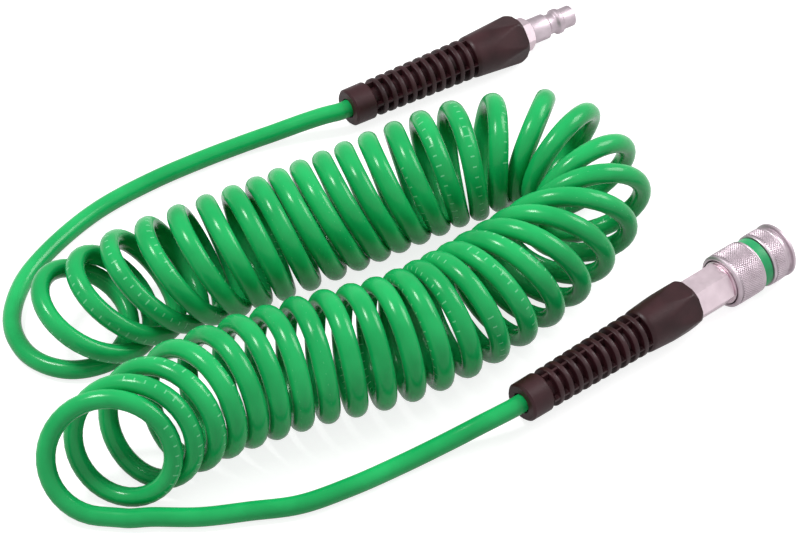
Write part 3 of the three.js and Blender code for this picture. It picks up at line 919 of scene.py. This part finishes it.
    def route(self) -> list[Vector]:
        """Centre line from inside the coupler's guard to inside the plug's, in metres."""
        finish = self.tail(self.first_turn, -1.0, self.plug_tail, LAYOUT.plug())
        count = self.coil_steps()
        back = self.first_turn - self.last_turn
        coil = [LAYOUT.shifted(*self.coil_point(self.last_turn + back * i / count)) for i in range(count + 1)]
        return [p * MM for p in [*reversed(self.coupler_end()), *coil, *finish]]

    def tree(self, material: bpy.types.Material) -> GeometryTree:
        """Build the tree that sweeps the tube along its curve.

        Args:
            material: The hose's finish.

        Returns:
            The tree, with its sizes set.
        """
        tree = GeometryTree("hose_tube")
        radius = tree.size("Tube radius", self.diameter / 2.0 * MM)
        section = tree.circle(radius, tree.size("Tube sides", self.sides))
        spline = tree.node("GeometryNodeSplineParameter")
        around = tree.mark("around", section, spline.outputs["Factor"])
        along = tree.mark("along", tree.entry.outputs["Geometry"], spline.outputs["Length"])
        return tree.close(tree.sweep(along, around), material)

    def flatten(self, tube: bpy.types.Mesh, path: Sequence[Vector]) -> None:
        """Press the wound tube a little oval, wider along the coil's axis, as winding does.

        Args:
            tube: The swept tube, one ring of points for each point of the path.
            path: The centre line, in metres.
        """
        coil = self.coil_steps()
        first = len(self.coupler_end())
        for i in range(coil + 1):
            here = path[first + i]
            before, after = path[first + i - 1] - here, path[first + i + 1] - here
            inward = (before + after).normalized()
            along = (after - before).normalized()
            wide = along.cross(inward)
            rooms = [
                (path[first + k] - here).length / MM - self.least_room
                for k in (i - self.steps_per_turn, i + self.steps_per_turn) if 0 <= k <= coil
            ]
            ends = min(1.0, i / self.steps_per_turn, (coil - i) / self.steps_per_turn)
            ease = max(0.0, min(self.flattening * ends, min(rooms) / self.diameter - 1.0))
            for vertex in tube.vertices[(first + i) * self.sides:(first + i + 1) * self.sides]:
                off = vertex.co - here
                off += wide * off.dot(wide) * ease - inward * off.dot(inward) * ease * self.pressing
                vertex.co = here + off

    def build(self, finishes: Finishes) -> bpy.types.Object:
        """Args:
            finishes: The object's materials.

        Returns:
            The hose.
        """
        path = self.route()
        line = bpy.data.curves.new("hose_line", "CURVE")
        line.dimensions = "3D"
        spline = line.splines.new("POLY")
        spline.points.add(len(path) - 1)
        for point, place in zip(spline.points, path):
            point.co = (*place, 1.0)
        data = self.tree(finishes.hose).result(line)
        data.name = "hose"
        self.flatten(data, path)
        shape = bmesh.new()
        shape.from_mesh(data)
        bmesh.ops.remove_doubles(shape, verts=shape.verts[:], dist=self.weld)
        bmesh.ops.recalc_face_normals(shape, faces=shape.faces[:])
        shape.to_mesh(data)
        shape.free()
        shade(data, self.sharp)
        hose = linked("hose", data)
        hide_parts("hose_coil", "plug_hose_tail", "coupler_hose_tail")
        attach(hose, "frame")
        return hose


# ------------------------------------------------ bend guard


@dataclass
class BendGuard:
    """A rubber guard over the crimped joint: collar, ribs on a core with webs, and a flare."""

    sides: int = 192
    core_steps: int = 48
    flare_steps: int = 12
    rim_steps: int = 5
    sharp: float = 40.0
    length: float = 93.3
    collar_length: float = 11.0
    collar_radius: float = 8.6
    collar_edge: float = 0.9
    core_gap: float = 0.05
    rim_bulge: float = 1.6
    rear_core: float = 5.6
    front_core: float = 6.4
    ribs: int = 10
    rib_pitch: float = 5.15
    rib_width: float = 2.4
    first_rib: float = 14.3
    rib_radius: float = 8.6
    rib_growth: float = 1.0
    rib_rounding: float = 0.45
    rib_root: float = 0.5
    rib_round_steps: int = 3
    hoop_steps: int = 96
    webs: int = 4
    web_width: float = 1.15
    web_drop: float = 0.35
    flare_length: float = 27.7
    flare_radius: float = 9.8
    rim_radius: float = 11.6
    front_radius: float = 10.4
    rim_depth: float = 3.0
    front_flats: float = 20.0
    flats_taper: float = 0.085
    hose_bore: float = 4.25
    ferrule_bore: float = 5.8
    pocket_flats: float = 17.6
    pocket_depth: float = 15.6
    ferrule_depth: float = 37.9

    def shell(self) -> bmesh.types.BMesh:
        """Build collar, core with webs, flare and the hollow inside."""
        rear = -self.length
        core_from, core_to = rear + self.collar_length, -self.flare_length
        stations = rings([
            (rear, self.collar_radius - self.collar_edge), (rear + self.collar_edge, self.collar_radius),
            (core_from - 0.7, self.collar_radius + 0.1), (core_from, self.collar_radius - 0.6),
        ])
        for i in range(self.core_steps + 1):
            x = core_from + self.core_gap + (core_to - core_from - 2.0 * self.core_gap) * (i / self.core_steps)
            core = self.front_core if x > -self.ferrule_depth - 0.6 else self.rear_core
            stations.append(Ring(x, core, webbed=True))
        stations += rings([(core_to, self.flare_radius - 0.7), (core_to + 0.8, self.flare_radius)])
        flare = self.flare_length - self.rim_depth
        slope = (self.rim_radius - self.flare_radius) / flare
        for i in range(1, self.flare_steps + 1):
            x = core_to + flare * i / self.flare_steps
            stations.append(Ring(x, self.flare_radius + slope * (x - core_to), self.frustum(x)))
        for i in range(1, self.rim_steps + 1):
            share = i / self.rim_steps
            x = -self.rim_depth * (1.0 - share)
            radius = self.rim_radius + (self.front_radius - self.rim_radius) * share**self.rim_bulge
            stations.append(Ring(x, radius, self.frustum(x)))
        stations += rings([(0.0, self.pocket_flats), (-self.pocket_depth, self.pocket_flats)], self.pocket_flats)
        stations += rings([
            (-self.pocket_depth, self.ferrule_bore), (-self.ferrule_depth, self.ferrule_bore),
            (-self.ferrule_depth, self.hose_bore), (rear + 0.5, self.hose_bore), (rear, self.hose_bore + 0.4),
        ])
        return wall(stations, self.sides, self.web)

    def frustum(self, x: float) -> float:
        """Width across the flats that the flare is trimmed to at a place along it."""
        return self.front_flats - x * self.flats_taper

    def web(self, station: Ring, angle: float) -> float:
        """Raise the core to the thin webs that cross the slots.

        Args:
            station: A ring of the shell.
            angle: Angle round it, from +Z.

        Returns:
            The radius there.
        """
        radius = station.at(angle)
        if not station.webbed:
            return radius
        span = (self.ribs - 1) * self.rib_pitch
        share = (station.x + self.length - self.first_rib - self.rib_width / 2.0) / span
        reach = self.rib_radius + self.rib_growth * min(max(share, 0.0), 1.0) - self.web_drop
        sector = FULL_TURN / self.webs
        off = min(angle % sector, sector - angle % sector) * reach
        return reach if off < self.web_width / 2.0 else radius

    def rib_tree(self, material: bpy.types.Material) -> GeometryTree:
        """Build the tree that lays the ribs along the core.

        Args:
            material: The rubber.

        Returns:
            The tree, with its sizes set.
        """
        tree = GeometryTree("guard_ribs")
        count = tree.size("Rib count", self.ribs)
        pitch = tree.size("Rib pitch", self.rib_pitch)
        start = tree.size("First rib", -self.length + self.first_rib + self.rib_width / 2.0)
        width = tree.size("Rib width", self.rib_width)
        outer = tree.size("Rib radius", self.rib_radius)
        growth = tree.size("Rib growth", self.rib_growth / self.rib_radius)
        inner = tree.size("Core radius", self.rear_core - self.rib_root)
        fillet = tree.size("Rib rounding", self.rib_rounding)
        depth = tree.work("SUBTRACT", outer, inner)
        middle = tree.work("MULTIPLY", tree.work("ADD", outer, inner), 0.5)
        box = tree.node("GeometryNodeCurvePrimitiveQuadrilateral", mode="RECTANGLE", Width=depth, Height=width)
        soft = tree.node("GeometryNodeFilletCurve", mode="POLY", Count=self.rib_round_steps, Radius=fillet)
        tree.put(box.outputs["Curve"], soft.inputs["Curve"])
        rib = tree.stand(tree.sweep(tree.circle(middle, self.hoop_steps), soft.outputs["Curve"], False))
        row = tree.node(
            "GeometryNodeMeshLine", mode="OFFSET", Count=count,
            Start_Location=tree.vector(start, 0.0, 0.0), Offset=tree.vector(pitch, 0.0, 0.0),
        )
        index = tree.node("GeometryNodeInputIndex").outputs[0]
        share = tree.work("DIVIDE", index, tree.work("SUBTRACT", count, 1.0))
        grown = tree.work("ADD", tree.work("MULTIPLY", share, growth), 1.0)
        place = tree.node(
            "GeometryNodeInstanceOnPoints", Points=row.outputs["Mesh"], Instance=rib,
            Scale=tree.vector(1.0, grown, grown),
        )
        return tree.close(place.outputs["Instances"], material)

    def build(self, name: str, node: str, place: Matrix, finishes: Finishes) -> bpy.types.Object:
        """Make one guard.

        Args:
            name: The piece's name.
            node: The CAD node that it stands for.
            place: Matrix of the guard's front.
            finishes: The object's materials.

        Returns:
            The guard.
        """
        shape = self.shell()
        shape.from_mesh(self.rib_tree(finishes.guard).result())
        bmesh.ops.recalc_face_normals(shape, faces=shape.faces[:])
        return tie(finished(name, shape, place, finishes.guard, self.sharp), node, "frame")


# ------------------------------------------------ fittings


@dataclass
class Fitting:
    """What the plug and the coupler share: turned and six-sided shapes.

    Attributes:
        finishes: The object's materials.
        sides: Points round a turned shape.
        bar_sides: Points round a hexagon.
        chamfer_steps: Steps in a hexagon's chamfer.
        chamfer_start: Radius at which the chamfer starts, as a share of half the flats.
        chamfer_extra: How much longer the chamfer is than its slant gives.
    """

    finishes: Finishes
    sides: int = 96
    bar_sides: int = 120
    chamfer_steps: int = 8
    chamfer_start: float = 0.985
    chamfer_extra: float = 0.1

    def turned(self, profile: Profile, rounding: float, sides: Optional[int] = None) -> bmesh.types.BMesh:
        """Turn a closed profile of (x, radius) corners, which are rounded a little."""
        return wall(rings(rounded(profile, rounding)), sides or self.sides)

    def add_hexagon(
        self, shape: bmesh.types.BMesh, rear: float, front: float, flats: float, bore: float, finish: int = 0,
    ) -> None:
        """Add a bored hexagon with the turned chamfer that leaves a scallop on each flat.

        Args:
            shape: The mesh that gets it, in millimetres.
            rear: Rear face.
            front: Front face.
            flats: Width across flats.
            bore: Radius of the bore.
            finish: The number of its finish among the piece's.
        """
        slant = math.radians(30.0)
        corner = flats / 2.0 / math.cos(slant)
        start = flats / 2.0 * self.chamfer_start
        run = (corner - start) * math.tan(slant) + self.chamfer_extra
        steps = [
            (run * i / self.chamfer_steps, start + (corner - start) * i / self.chamfer_steps)
            for i in range(1, self.chamfer_steps + 1)
        ]
        stations = [Ring(rear, bore), Ring(rear, start, flats)]
        stations += [Ring(rear + x, radius, flats) for x, radius in steps]
        stations += [Ring(front - x, radius, flats) for x, radius in reversed(steps)]
        stations += [Ring(front, start, flats), Ring(front, bore)]
        bar = wall(stations, self.bar_sides)
        for face in bar.faces:
            face.material_index = finish
        spare = bpy.data.meshes.new("bar")
        bar.to_mesh(spare)
        bar.free()
        shape.from_mesh(spare)


@dataclass
class Plug(Fitting):
    """The male plug: thread, hexagon, body, neck, locking ridge and tip, bored through."""

    hex_seat: float = 1.5
    thread_length: float = 9.5
    thread_radius: float = 6.58
    hex_flats: float = 14.0
    hex_length: float = 5.9
    body_radius: float = 6.0
    body_end: float = 15.6
    neck_radius: float = 4.75
    ridge_start: float = 20.9
    ridge_radius: float = 6.0
    ridge_end: float = 23.1
    tip_radius: float = 5.0
    tip_end: float = 30.4
    bore: float = 2.7

    def build(self) -> bpy.types.Object:
        """Make the nipple as one piece."""
        rear = -self.hex_seat - self.thread_length
        profile = [
            (rear, self.bore), (rear, self.thread_radius - 0.7), (rear + 0.7, self.thread_radius),
            (-self.hex_seat + 0.5, self.thread_radius), (-self.hex_seat + 0.5, self.body_radius),
            (self.hex_length + 0.4, self.body_radius - 0.15), (self.hex_length + 0.9, self.body_radius),
            (self.body_end - 0.3, self.body_radius), (self.body_end + 0.8, self.neck_radius + 0.1),
            (self.body_end + 1.6, self.neck_radius), (self.ridge_start - 1.0, self.neck_radius),
            (self.ridge_start, self.ridge_radius), (self.ridge_end, self.ridge_radius),
            (self.ridge_end + 0.7, self.tip_radius), (self.tip_end - 0.4, self.tip_radius),
            (self.tip_end, self.tip_radius - 0.4), (self.tip_end, self.bore + 0.5), (self.tip_end - 0.6, self.bore),
        ]
        shape = self.turned(profile, rounding=0.25)
        self.add_hexagon(shape, -self.hex_seat, self.hex_length, self.hex_flats, self.body_radius - 0.6, 1)
        piece = finished("plug_nipple_turned", shape, LAYOUT.plug(), self.finishes.plated)
        piece.data.materials.append(self.finishes.hexagon)
        return tie(piece, "plug_nipple", "frame")


@dataclass
class Knurl:
    """A diamond knurl: small pyramids in staggered rows round a cylinder."""

    half_tile: float = 0.62
    height: float = 0.34
    fill: float = 0.98

    def tree(self, start: float, length: float, radius: float, material: bpy.types.Material) -> GeometryTree:
        """Build the tree for one knurled ring.

        Args:
            start: Rear of the ring.
            length: Length of the ring.
            radius: Radius of the cylinder that the pyramids stand on.
            material: The metal.

        Returns:
            The tree, with its sizes set.
        """
        rows = max(2, int(length / self.half_tile) - 1)
        tree = GeometryTree("diamond_knurl")
        columns = tree.size("Diamonds round", round(math.pi * radius / self.half_tile))
        lines = tree.size("Rows", rows)
        tile = tree.size("Half tile", self.half_tile)
        tall = tree.size("Height", self.height)
        base = tree.size("Base radius", radius)
        first = tree.size("First row", start + (length - (rows - 1) * self.half_tile) / 2.0)
        spike = tree.node(
            "GeometryNodeMeshCone", fill_type="NONE", Vertices=4, Radius_Top=0.0, Depth=tall,
            Radius_Bottom=tree.work("MULTIPLY", tile, self.fill),
        )
        points = tree.node("GeometryNodeMeshLine", mode="OFFSET", Count=tree.work("MULTIPLY", columns, lines))
        index = tree.node("GeometryNodeInputIndex").outputs[0]
        row = tree.work("FLOOR", tree.work("DIVIDE", tree.work("ADD", index, 0.5), columns))
        column = tree.work("MODULO", index, columns)
        stagger = tree.work("MULTIPLY", tree.work("MODULO", row, 2.0), 0.5)
        share = tree.work("DIVIDE", tree.work("ADD", column, stagger), columns)
        angle = tree.work("MULTIPLY", share, FULL_TURN)
        x = tree.work("ADD", first, tree.work("MULTIPLY", row, tile))
        y = tree.work("MULTIPLY", tree.work("MULTIPLY", base, -1.0), tree.work("SINE", angle))
        z = tree.work("MULTIPLY", base, tree.work("COSINE", angle))
        move = tree.node("GeometryNodeSetPosition", Geometry=points.outputs["Mesh"], Position=tree.vector(x, y, z))
        place = tree.node(
            "GeometryNodeInstanceOnPoints", Points=move.outputs["Geometry"], Instance=spike.outputs["Mesh"],
            Rotation=tree.vector(angle, 0.0, 0.0),
        )
        return tree.close(place.outputs["Instances"], material)


@dataclass(frozen=True)
class CoilSpring:
    """A compression spring on the coupler's axis.

    Attributes:
        name: The piece's name.
        node: The CAD node that it stands for.
        joint: The joint that loads it in the real coupler; not used.
        rear: Its fixed end, from the mouth.
        front: Its moving end, from the mouth.
        middle: Radius of the wire's centre line.
        wire: Diameter of the wire.
        turns: How many turns it has.
        travel: How far the joint pushes its front back in the real coupler; not used.
        steps_per_turn: Points on each turn of the wire.
        wire_sides: Points round the wire.
        sharp: Edges turned by more than this many degrees stay sharp.
    """

    name: str
    node: str
    joint: str
    rear: float
    front: float
    middle: float
    wire: float
    turns: float
    travel: float
    steps_per_turn: int = 40
    wire_sides: int = 14
    sharp: float = 40.0

    def tree(self, material: bpy.types.Material) -> GeometryTree:
        """Build the tree that winds the wire.

        Args:
            material: The spring's steel.

        Returns:
            The tree, with its sizes set.
        """
        tree = GeometryTree(f"{self.name}_wire")
        radius = tree.size("Radius", self.middle)
        coil = tree.node(
            "GeometryNodeCurveSpiral", Resolution=self.steps_per_turn, Rotations=tree.size("Turns", self.turns),
            Start_Radius=radius, End_Radius=radius, Height=tree.size("Length", self.front - self.rear - self.wire),
        )
        section = tree.circle(tree.size("Wire radius", self.wire / 2.0), self.wire_sides)
        wound = tree.sweep(coil.outputs["Curve"], section)
        return tree.close(tree.stand(wound, self.rear + self.wire / 2.0), material)

    def build(self, material: bpy.types.Material) -> bpy.types.Object:
        """Make the spring.

        Args:
            material: The spring's steel.

        Returns:
            The spring.
        """
        shape = bmesh.new()
        shape.from_mesh(self.tree(material).result())
        spring = finished(self.name, shape, LAYOUT.coupler(), material, self.sharp)
        tie(spring, self.node, "frame")
        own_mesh(spring)
        return spring


@dataclass
class Coupler(Fitting):
    """The quick coupler: body, nose, valve, balls, springs, and the sleeve with its band.

    The profiles list their corners as (x, radius), with x from the mouth's face and negative inside.
    """

    knurl: Knurl = field(default_factory=Knurl)
    knurled_rings: tuple[tuple[float, float], ...] = ((-31.7, 12.8), (-11.3, 6.0))
    knurl_root: float = 11.72
    knurl_lift: float = 0.13
    sleeve_sides: int = 120
    sleeve_sharp: float = 25.0
    hex_flats: float = 17.0
    seal_x: float = -17.2
    seal_middle: float = 5.85
    seal_wire: float = 0.85
    seal_steps: int = 20
    balls_count: int = 6
    ball_radius: float = 1.75
    ball_x: float = -8.0
    ball_circle: float = 6.85
    ball_columns: int = 24
    ball_rows: int = 14
    round_sharp: float = 80.0
    springs: tuple[CoilSpring, ...] = (
        CoilSpring("sleeve_spring_coil", "sleeve_spring", "sleeve_slide", -27.98, -13.73, 9.35, 0.95, 5.0, 3.5),
        CoilSpring("valve_spring_coil", "valve_spring", "valve_slide", -36.18, -26.32, 4.0, 0.85, 5.0, 4.0),
    )

    def sleeve(self) -> bpy.types.Object:
        """Make the sliding sleeve with its two knurled rings."""
        root = self.knurl_root
        profile = [
            (-33.5, 10.4), (-33.5, 11.1), (-32.7, 12.0), (-32.1, 12.0), (-31.8, root), (-18.8, root),
            (-18.5, 12.0), (-18.0, 12.0), (-18.0, 10.65), (-12.7, 10.65), (-12.7, 11.75), (-12.2, 12.0),
            (-11.7, 12.0), (-11.4, root), (-5.2, root), (-4.9, 12.0), (-4.6, 12.0), (-4.2, 10.9), (-1.9, 10.9),
            (-1.7, 12.2), (-0.6, 12.2), (0.0, 11.6), (0.0, 10.5), (-0.4, 10.15), (-5.15, 10.15), (-8.4, 8.85),
            (-12.3, 8.85), (-12.3, 10.1), (-28.5, 10.1), (-28.5, 10.4),
        ]
        shape = self.turned(profile, rounding=0.16, sides=self.sleeve_sides)
        for start, length in self.knurled_rings:
            shape.from_mesh(self.knurl.tree(start, length, root + self.knurl_lift, self.finishes.plated).result())
        piece = finished("sleeve_knurled", shape, LAYOUT.coupler(), self.finishes.plated, self.sleeve_sharp)
        return tie(piece, "locking_sleeve", "sleeve")

    def body(self) -> bpy.types.Object:
        """Make the body: threaded tail, hexagon and guide collar."""
        profile = [
            (-64.8, 2.5), (-64.8, 5.9), (-64.1, 6.58), (-53.3, 6.58), (-53.3, 7.4), (-38.0, 7.4), (-38.0, 8.3),
            (-33.8, 8.3), (-33.8, 9.8), (-28.3, 9.8), (-28.3, 7.7), (-36.5, 7.7), (-36.5, 2.5),
        ]
        shape = self.turned(profile, rounding=0.2)
        self.add_hexagon(shape, rear=-55.3, front=-33.9, flats=self.hex_flats, bore=7.95)
        place = LAYOUT.coupler(roll=LAYOUT.coupler_roll)
        piece = finished("coupler_body_turned", shape, place, self.finishes.hexagon)
        return tie(piece, "coupler_body", "frame")

    def nose(self) -> bpy.types.Object:
        """Make the nose's barrel, with its socket, seal groove and valve seat."""
        profile = [
            (-0.8, 7.0), (-0.8, 8.0), (-1.3, 8.5), (-4.0, 8.5), (-4.0, 7.75), (-5.3, 7.75), (-5.3, 8.5),
            (-28.0, 8.5), (-28.0, 7.4), (-36.2, 7.4), (-36.2, 6.2), (-23.0, 6.2), (-23.0, 3.6), (-21.0, 3.6),
            (-21.0, 5.15), (-18.4, 5.15), (-18.4, 7.0), (-16.0, 7.0), (-16.0, 5.15), (-13.6, 5.15),
            (-12.6, 6.2), (-1.6, 6.2),
        ]
        piece = finished("nose_barrel", self.turned(profile, rounding=0.12), LAYOUT.coupler(), self.finishes.plated)
        return tie(piece, "coupler_nose", "frame")

    def band(self) -> bpy.types.Object:
        """Make the green band in the sleeve's groove."""
        profile = [(-17.7, 10.95), (-17.7, 11.1), (-17.5, 11.25), (-13.2, 11.25), (-13.0, 11.1), (-13.0, 10.95)]
        piece = finished("band_ring", self.turned(profile, rounding=0.05), LAYOUT.coupler(), self.finishes.band)
        return tie(piece, "sleeve_band", "sleeve")

    def valve(self) -> bpy.types.Object:
        """Make the poppet with its bored front."""
        profile = [
            (-33.0, 0.0), (-33.0, 1.3), (-32.7, 1.6), (-26.0, 1.6), (-26.0, 5.4), (-24.6, 5.4), (-24.6, 3.1),
            (-15.7, 3.1), (-15.2, 2.6), (-15.2, 1.8), (-22.0, 1.8), (-22.0, 0.0),
        ]
        piece = finished("valve_turned", self.turned(profile, rounding=0.1), LAYOUT.coupler(), self.finishes.brass)
        return tie(piece, "valve_poppet", "valve")

    def seal(self) -> bpy.types.Object:
        """Make the O-ring that seals on the plug."""
        points = []
        for i in range(self.seal_steps):
            angle = FULL_TURN * i / self.seal_steps
            points.append((
                self.seal_x + self.seal_wire * math.sin(angle), self.seal_middle + self.seal_wire * math.cos(angle),
            ))
        shape = wall(rings(points), self.sides)
        piece = finished("plug_seal_ring", shape, LAYOUT.coupler(), self.finishes.seal, self.round_sharp)
        return tie(piece, "plug_seal", "frame")

    def ball(self, number: int) -> bpy.types.Object:
        """Make one locking ball, counted from 1, on its own body.

        Args:
            number: The ball's number.

        Returns:
            The ball.
        """
        angle = FULL_TURN * (number - 1) / self.balls_count
        at = Vector((self.ball_x, -self.ball_circle * math.sin(angle), self.ball_circle * math.cos(angle)))
        shape = bmesh.new()
        bmesh.ops.create_uvsphere(
            shape, u_segments=self.ball_columns, v_segments=self.ball_rows, radius=self.ball_radius,
        )
        place = LAYOUT.coupler() @ Matrix.Translation(at)
        piece = finished(f"ball_{number}_round", shape, place, self.finishes.ball, self.round_sharp)
        return tie(piece, f"locking_ball_{number}", f"ball_{number}")

    def build(self) -> list[bpy.types.Object]:
        """Make every visible piece of the coupler."""
        springs = [spring.build(self.finishes.spring) for spring in self.springs]
        turned = [self.sleeve(), self.body(), self.nose(), self.band(), self.valve(), self.seal()]
        balls = [self.ball(number) for number in range(1, self.balls_count + 1)]
        return [*turned, *balls, *springs]


# ------------------------------------------------ stage


@dataclass(frozen=True)
class Lamp:
    """A square soft lamp that points at the middle of the part, in metres and watts."""

    name: str
    place: tuple[float, float, float]
    size: float
    power: float

    def build(self) -> None:
        """Hang the lamp."""
        data = bpy.data.lights.new(self.name, "AREA")
        data.shape, data.size, data.energy = "SQUARE", self.size, self.power
        lamp = linked(self.name, data)
        lamp.location = self.place
        lamp.rotation_euler = (-Vector(self.place)).to_track_quat("-Z", "Y").to_euler()


@dataclass
class Studio:
    """Pale floor, soft lamps, white air and the camera.

    Attributes:
        distance: From the target to the camera, in metres.
        elevation: The camera's height over the floor, in degrees.
        azimuth: The camera's heading from +Y, in degrees.
        lens: Focal length on a sensor of that width, both in millimetres.
        sensor: Width of the sensor.
        target_x: Target in the plan.
        target_y: Target in the plan.
        room_light: How bright the air is to the surfaces.
        room_front: How bright metal sees the front of the room.
        room_back: How bright metal sees the back of the room.
        room_from: Where on Y the change starts, as a direction from -1 to 1.
        room_to: Where it ends.
        floor_side: Half the floor's side, in metres.
        floor_drop: How far the floor lies under the part.
        floor_tone: The floor's grey.
        floor_seen: Glow that the camera sees.
        floor_mirrored: Glow that a mirror sees.
        lamps: The lamps.
    """

    distance: float = 1.45
    elevation: float = 42.0
    azimuth: float = 40.2
    lens: float = 150.84
    sensor: float = 36.0
    target_x: float = -123.7
    target_y: float = 105.6
    room_light: float = 0.52
    room_front: float = 1.0
    room_back: float = 0.6
    room_from: float = -0.7
    room_to: float = 0.6
    floor_side: float = 4.0
    floor_drop: float = 0.0002
    floor_tone: float = 0.4
    floor_seen: float = 0.82
    floor_mirrored: float = 0.4
    lamps: tuple[Lamp, ...] = (
        Lamp("key_lamp", (-0.5, 0.5, 1.5), 0.4, 18.0), Lamp("fill_lamp", (1.4, -0.4, 1.2), 0.8, 17.0),
    )

    def floor(self) -> None:
        """Lay the pale floor, which is brighter where the camera sees it directly and keeps the shadow."""
        mesh = bmesh.new()
        bmesh.ops.create_grid(mesh, x_segments=1, y_segments=1, size=self.floor_side)
        data = bpy.data.meshes.new("bench_floor")
        mesh.to_mesh(data)
        mesh.free()
        shader = Shader("bench_white")
        shader.set(Base_Color=(self.floor_tone, self.floor_tone, self.floor_tone, 1.0), Roughness=0.7)
        rays = shader.node("ShaderNodeLightPath")
        seen = shader.work("MULTIPLY", rays.outputs["Is Camera Ray"], self.floor_seen)
        mirrored = shader.work("MULTIPLY", rays.outputs["Is Glossy Ray"], self.floor_mirrored)
        glow = shader.node("ShaderNodeEmission", Strength=shader.work("ADD", seen, mirrored))
        both = shader.node("ShaderNodeAddShader")
        shader.put(shader.surface.outputs["BSDF"], both.inputs[0])
        shader.put(glow.outputs["Emission"], both.inputs[1])
        shader.put(both.outputs["Shader"], shader.tree.nodes["Material Output"].inputs["Surface"])
        data.materials.append(shader.material)
        floor = linked("bench_floor", data)
        floor.location = (0.0, 0.0, -self.floor_drop)

    def camera(self) -> None:
        """Set the camera at the photograph's angle."""
        a, e = math.radians(self.azimuth), math.radians(self.elevation)
        view = Vector((math.sin(a) * math.cos(e), math.cos(a) * math.cos(e), -math.sin(e)))
        data = bpy.data.cameras.new("camera")
        data.sensor_width, data.lens = self.sensor, self.lens
        camera = linked("camera", data)
        camera.location = LAYOUT.shifted(self.target_x, self.target_y, 0.0) * MM - view * self.distance
        camera.rotation_euler = view.to_track_quat("-Z", "Y").to_euler()
        bpy.context.scene.camera = camera

    def air(self) -> bpy.types.World:
        """Make the white world, which metal sees a little darker towards the back of the room."""
        world = bpy.data.worlds.new("studio")
        world.use_nodes = True
        hand = Wiring(world.node_tree)
        way = hand.node("ShaderNodeSeparateXYZ", Vector=hand.node("ShaderNodeTexCoord").outputs["Generated"])
        room = hand.node(
            "ShaderNodeMapRange", Value=way.outputs["Y"], From_Min=self.room_from, From_Max=self.room_to,
            To_Min=self.room_front, To_Max=self.room_back,
        )
        rays = hand.node("ShaderNodeLightPath")
        mirrored = hand.node(
            "ShaderNodeMix", A=self.room_light, B=room.outputs["Result"], Factor=rays.outputs["Is Glossy Ray"],
        )
        level = hand.work("MAXIMUM", rays.outputs["Is Camera Ray"], mirrored.outputs["Result"])
        light = hand.tree.nodes["Background"]
        hand.put((1.0, 1.0, 1.0, 1.0), light.inputs["Color"])
        hand.put(level, light.inputs["Strength"])
        return world

    def build(self) -> None:
        """Set the whole stage."""
        scene = bpy.context.scene
        scene.view_settings.view_transform = "Standard"
        scene.world = self.air()
        self.floor()
        for lamp in self.lamps:
            lamp.build()
        self.camera()


# ------------------------------------------------ main


def dress_hidden_nodes(frame: dict, finishes: Finishes) -> None:
    """Give the CAD nodes that stay their own finish.

    Args:
        finishes: The object's materials.
    """
    by_slot = {
        "ferrule_steel": finishes.spring, "brass": finishes.brass, "nitrile": finishes.seal,
        "plated_steel": finishes.plated, "spring_steel": finishes.spring, "ball_steel": finishes.ball,
        "band": finishes.band, "boot_rubber": finishes.guard, "hose": finishes.hose,
    }
    slots = {part["node"]: part["material_slot"] for part in frame["record"]["subparts"]}
    for name, node in frame["nodes"].items():
        for slot in node.material_slots:
            slot.material = by_slot[slots[name]]


def main() -> None:
    """Build the hose, its guards and its fittings, in that order, and log each piece."""
    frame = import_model()
    Studio().build()
    finishes = Finishes()
    Hose().build(finishes)
    coupler_front = LAYOUT.coupler(LAYOUT.guard_front, LAYOUT.coupler_roll)
    pieces = [
        BendGuard().build("coupler_guard", "coupler_boot", coupler_front, finishes),
        BendGuard().build("plug_guard", "plug_boot", LAYOUT.plug(), finishes),
        Plug(finishes).build(),
        *Coupler(finishes).build(),
    ]
    for piece in pieces:
        log.info("%s: %d faces", piece.name, len(piece.data.polygons))
    dress_hidden_nodes(frame, finishes)


if __name__ == "__main__":
    main()
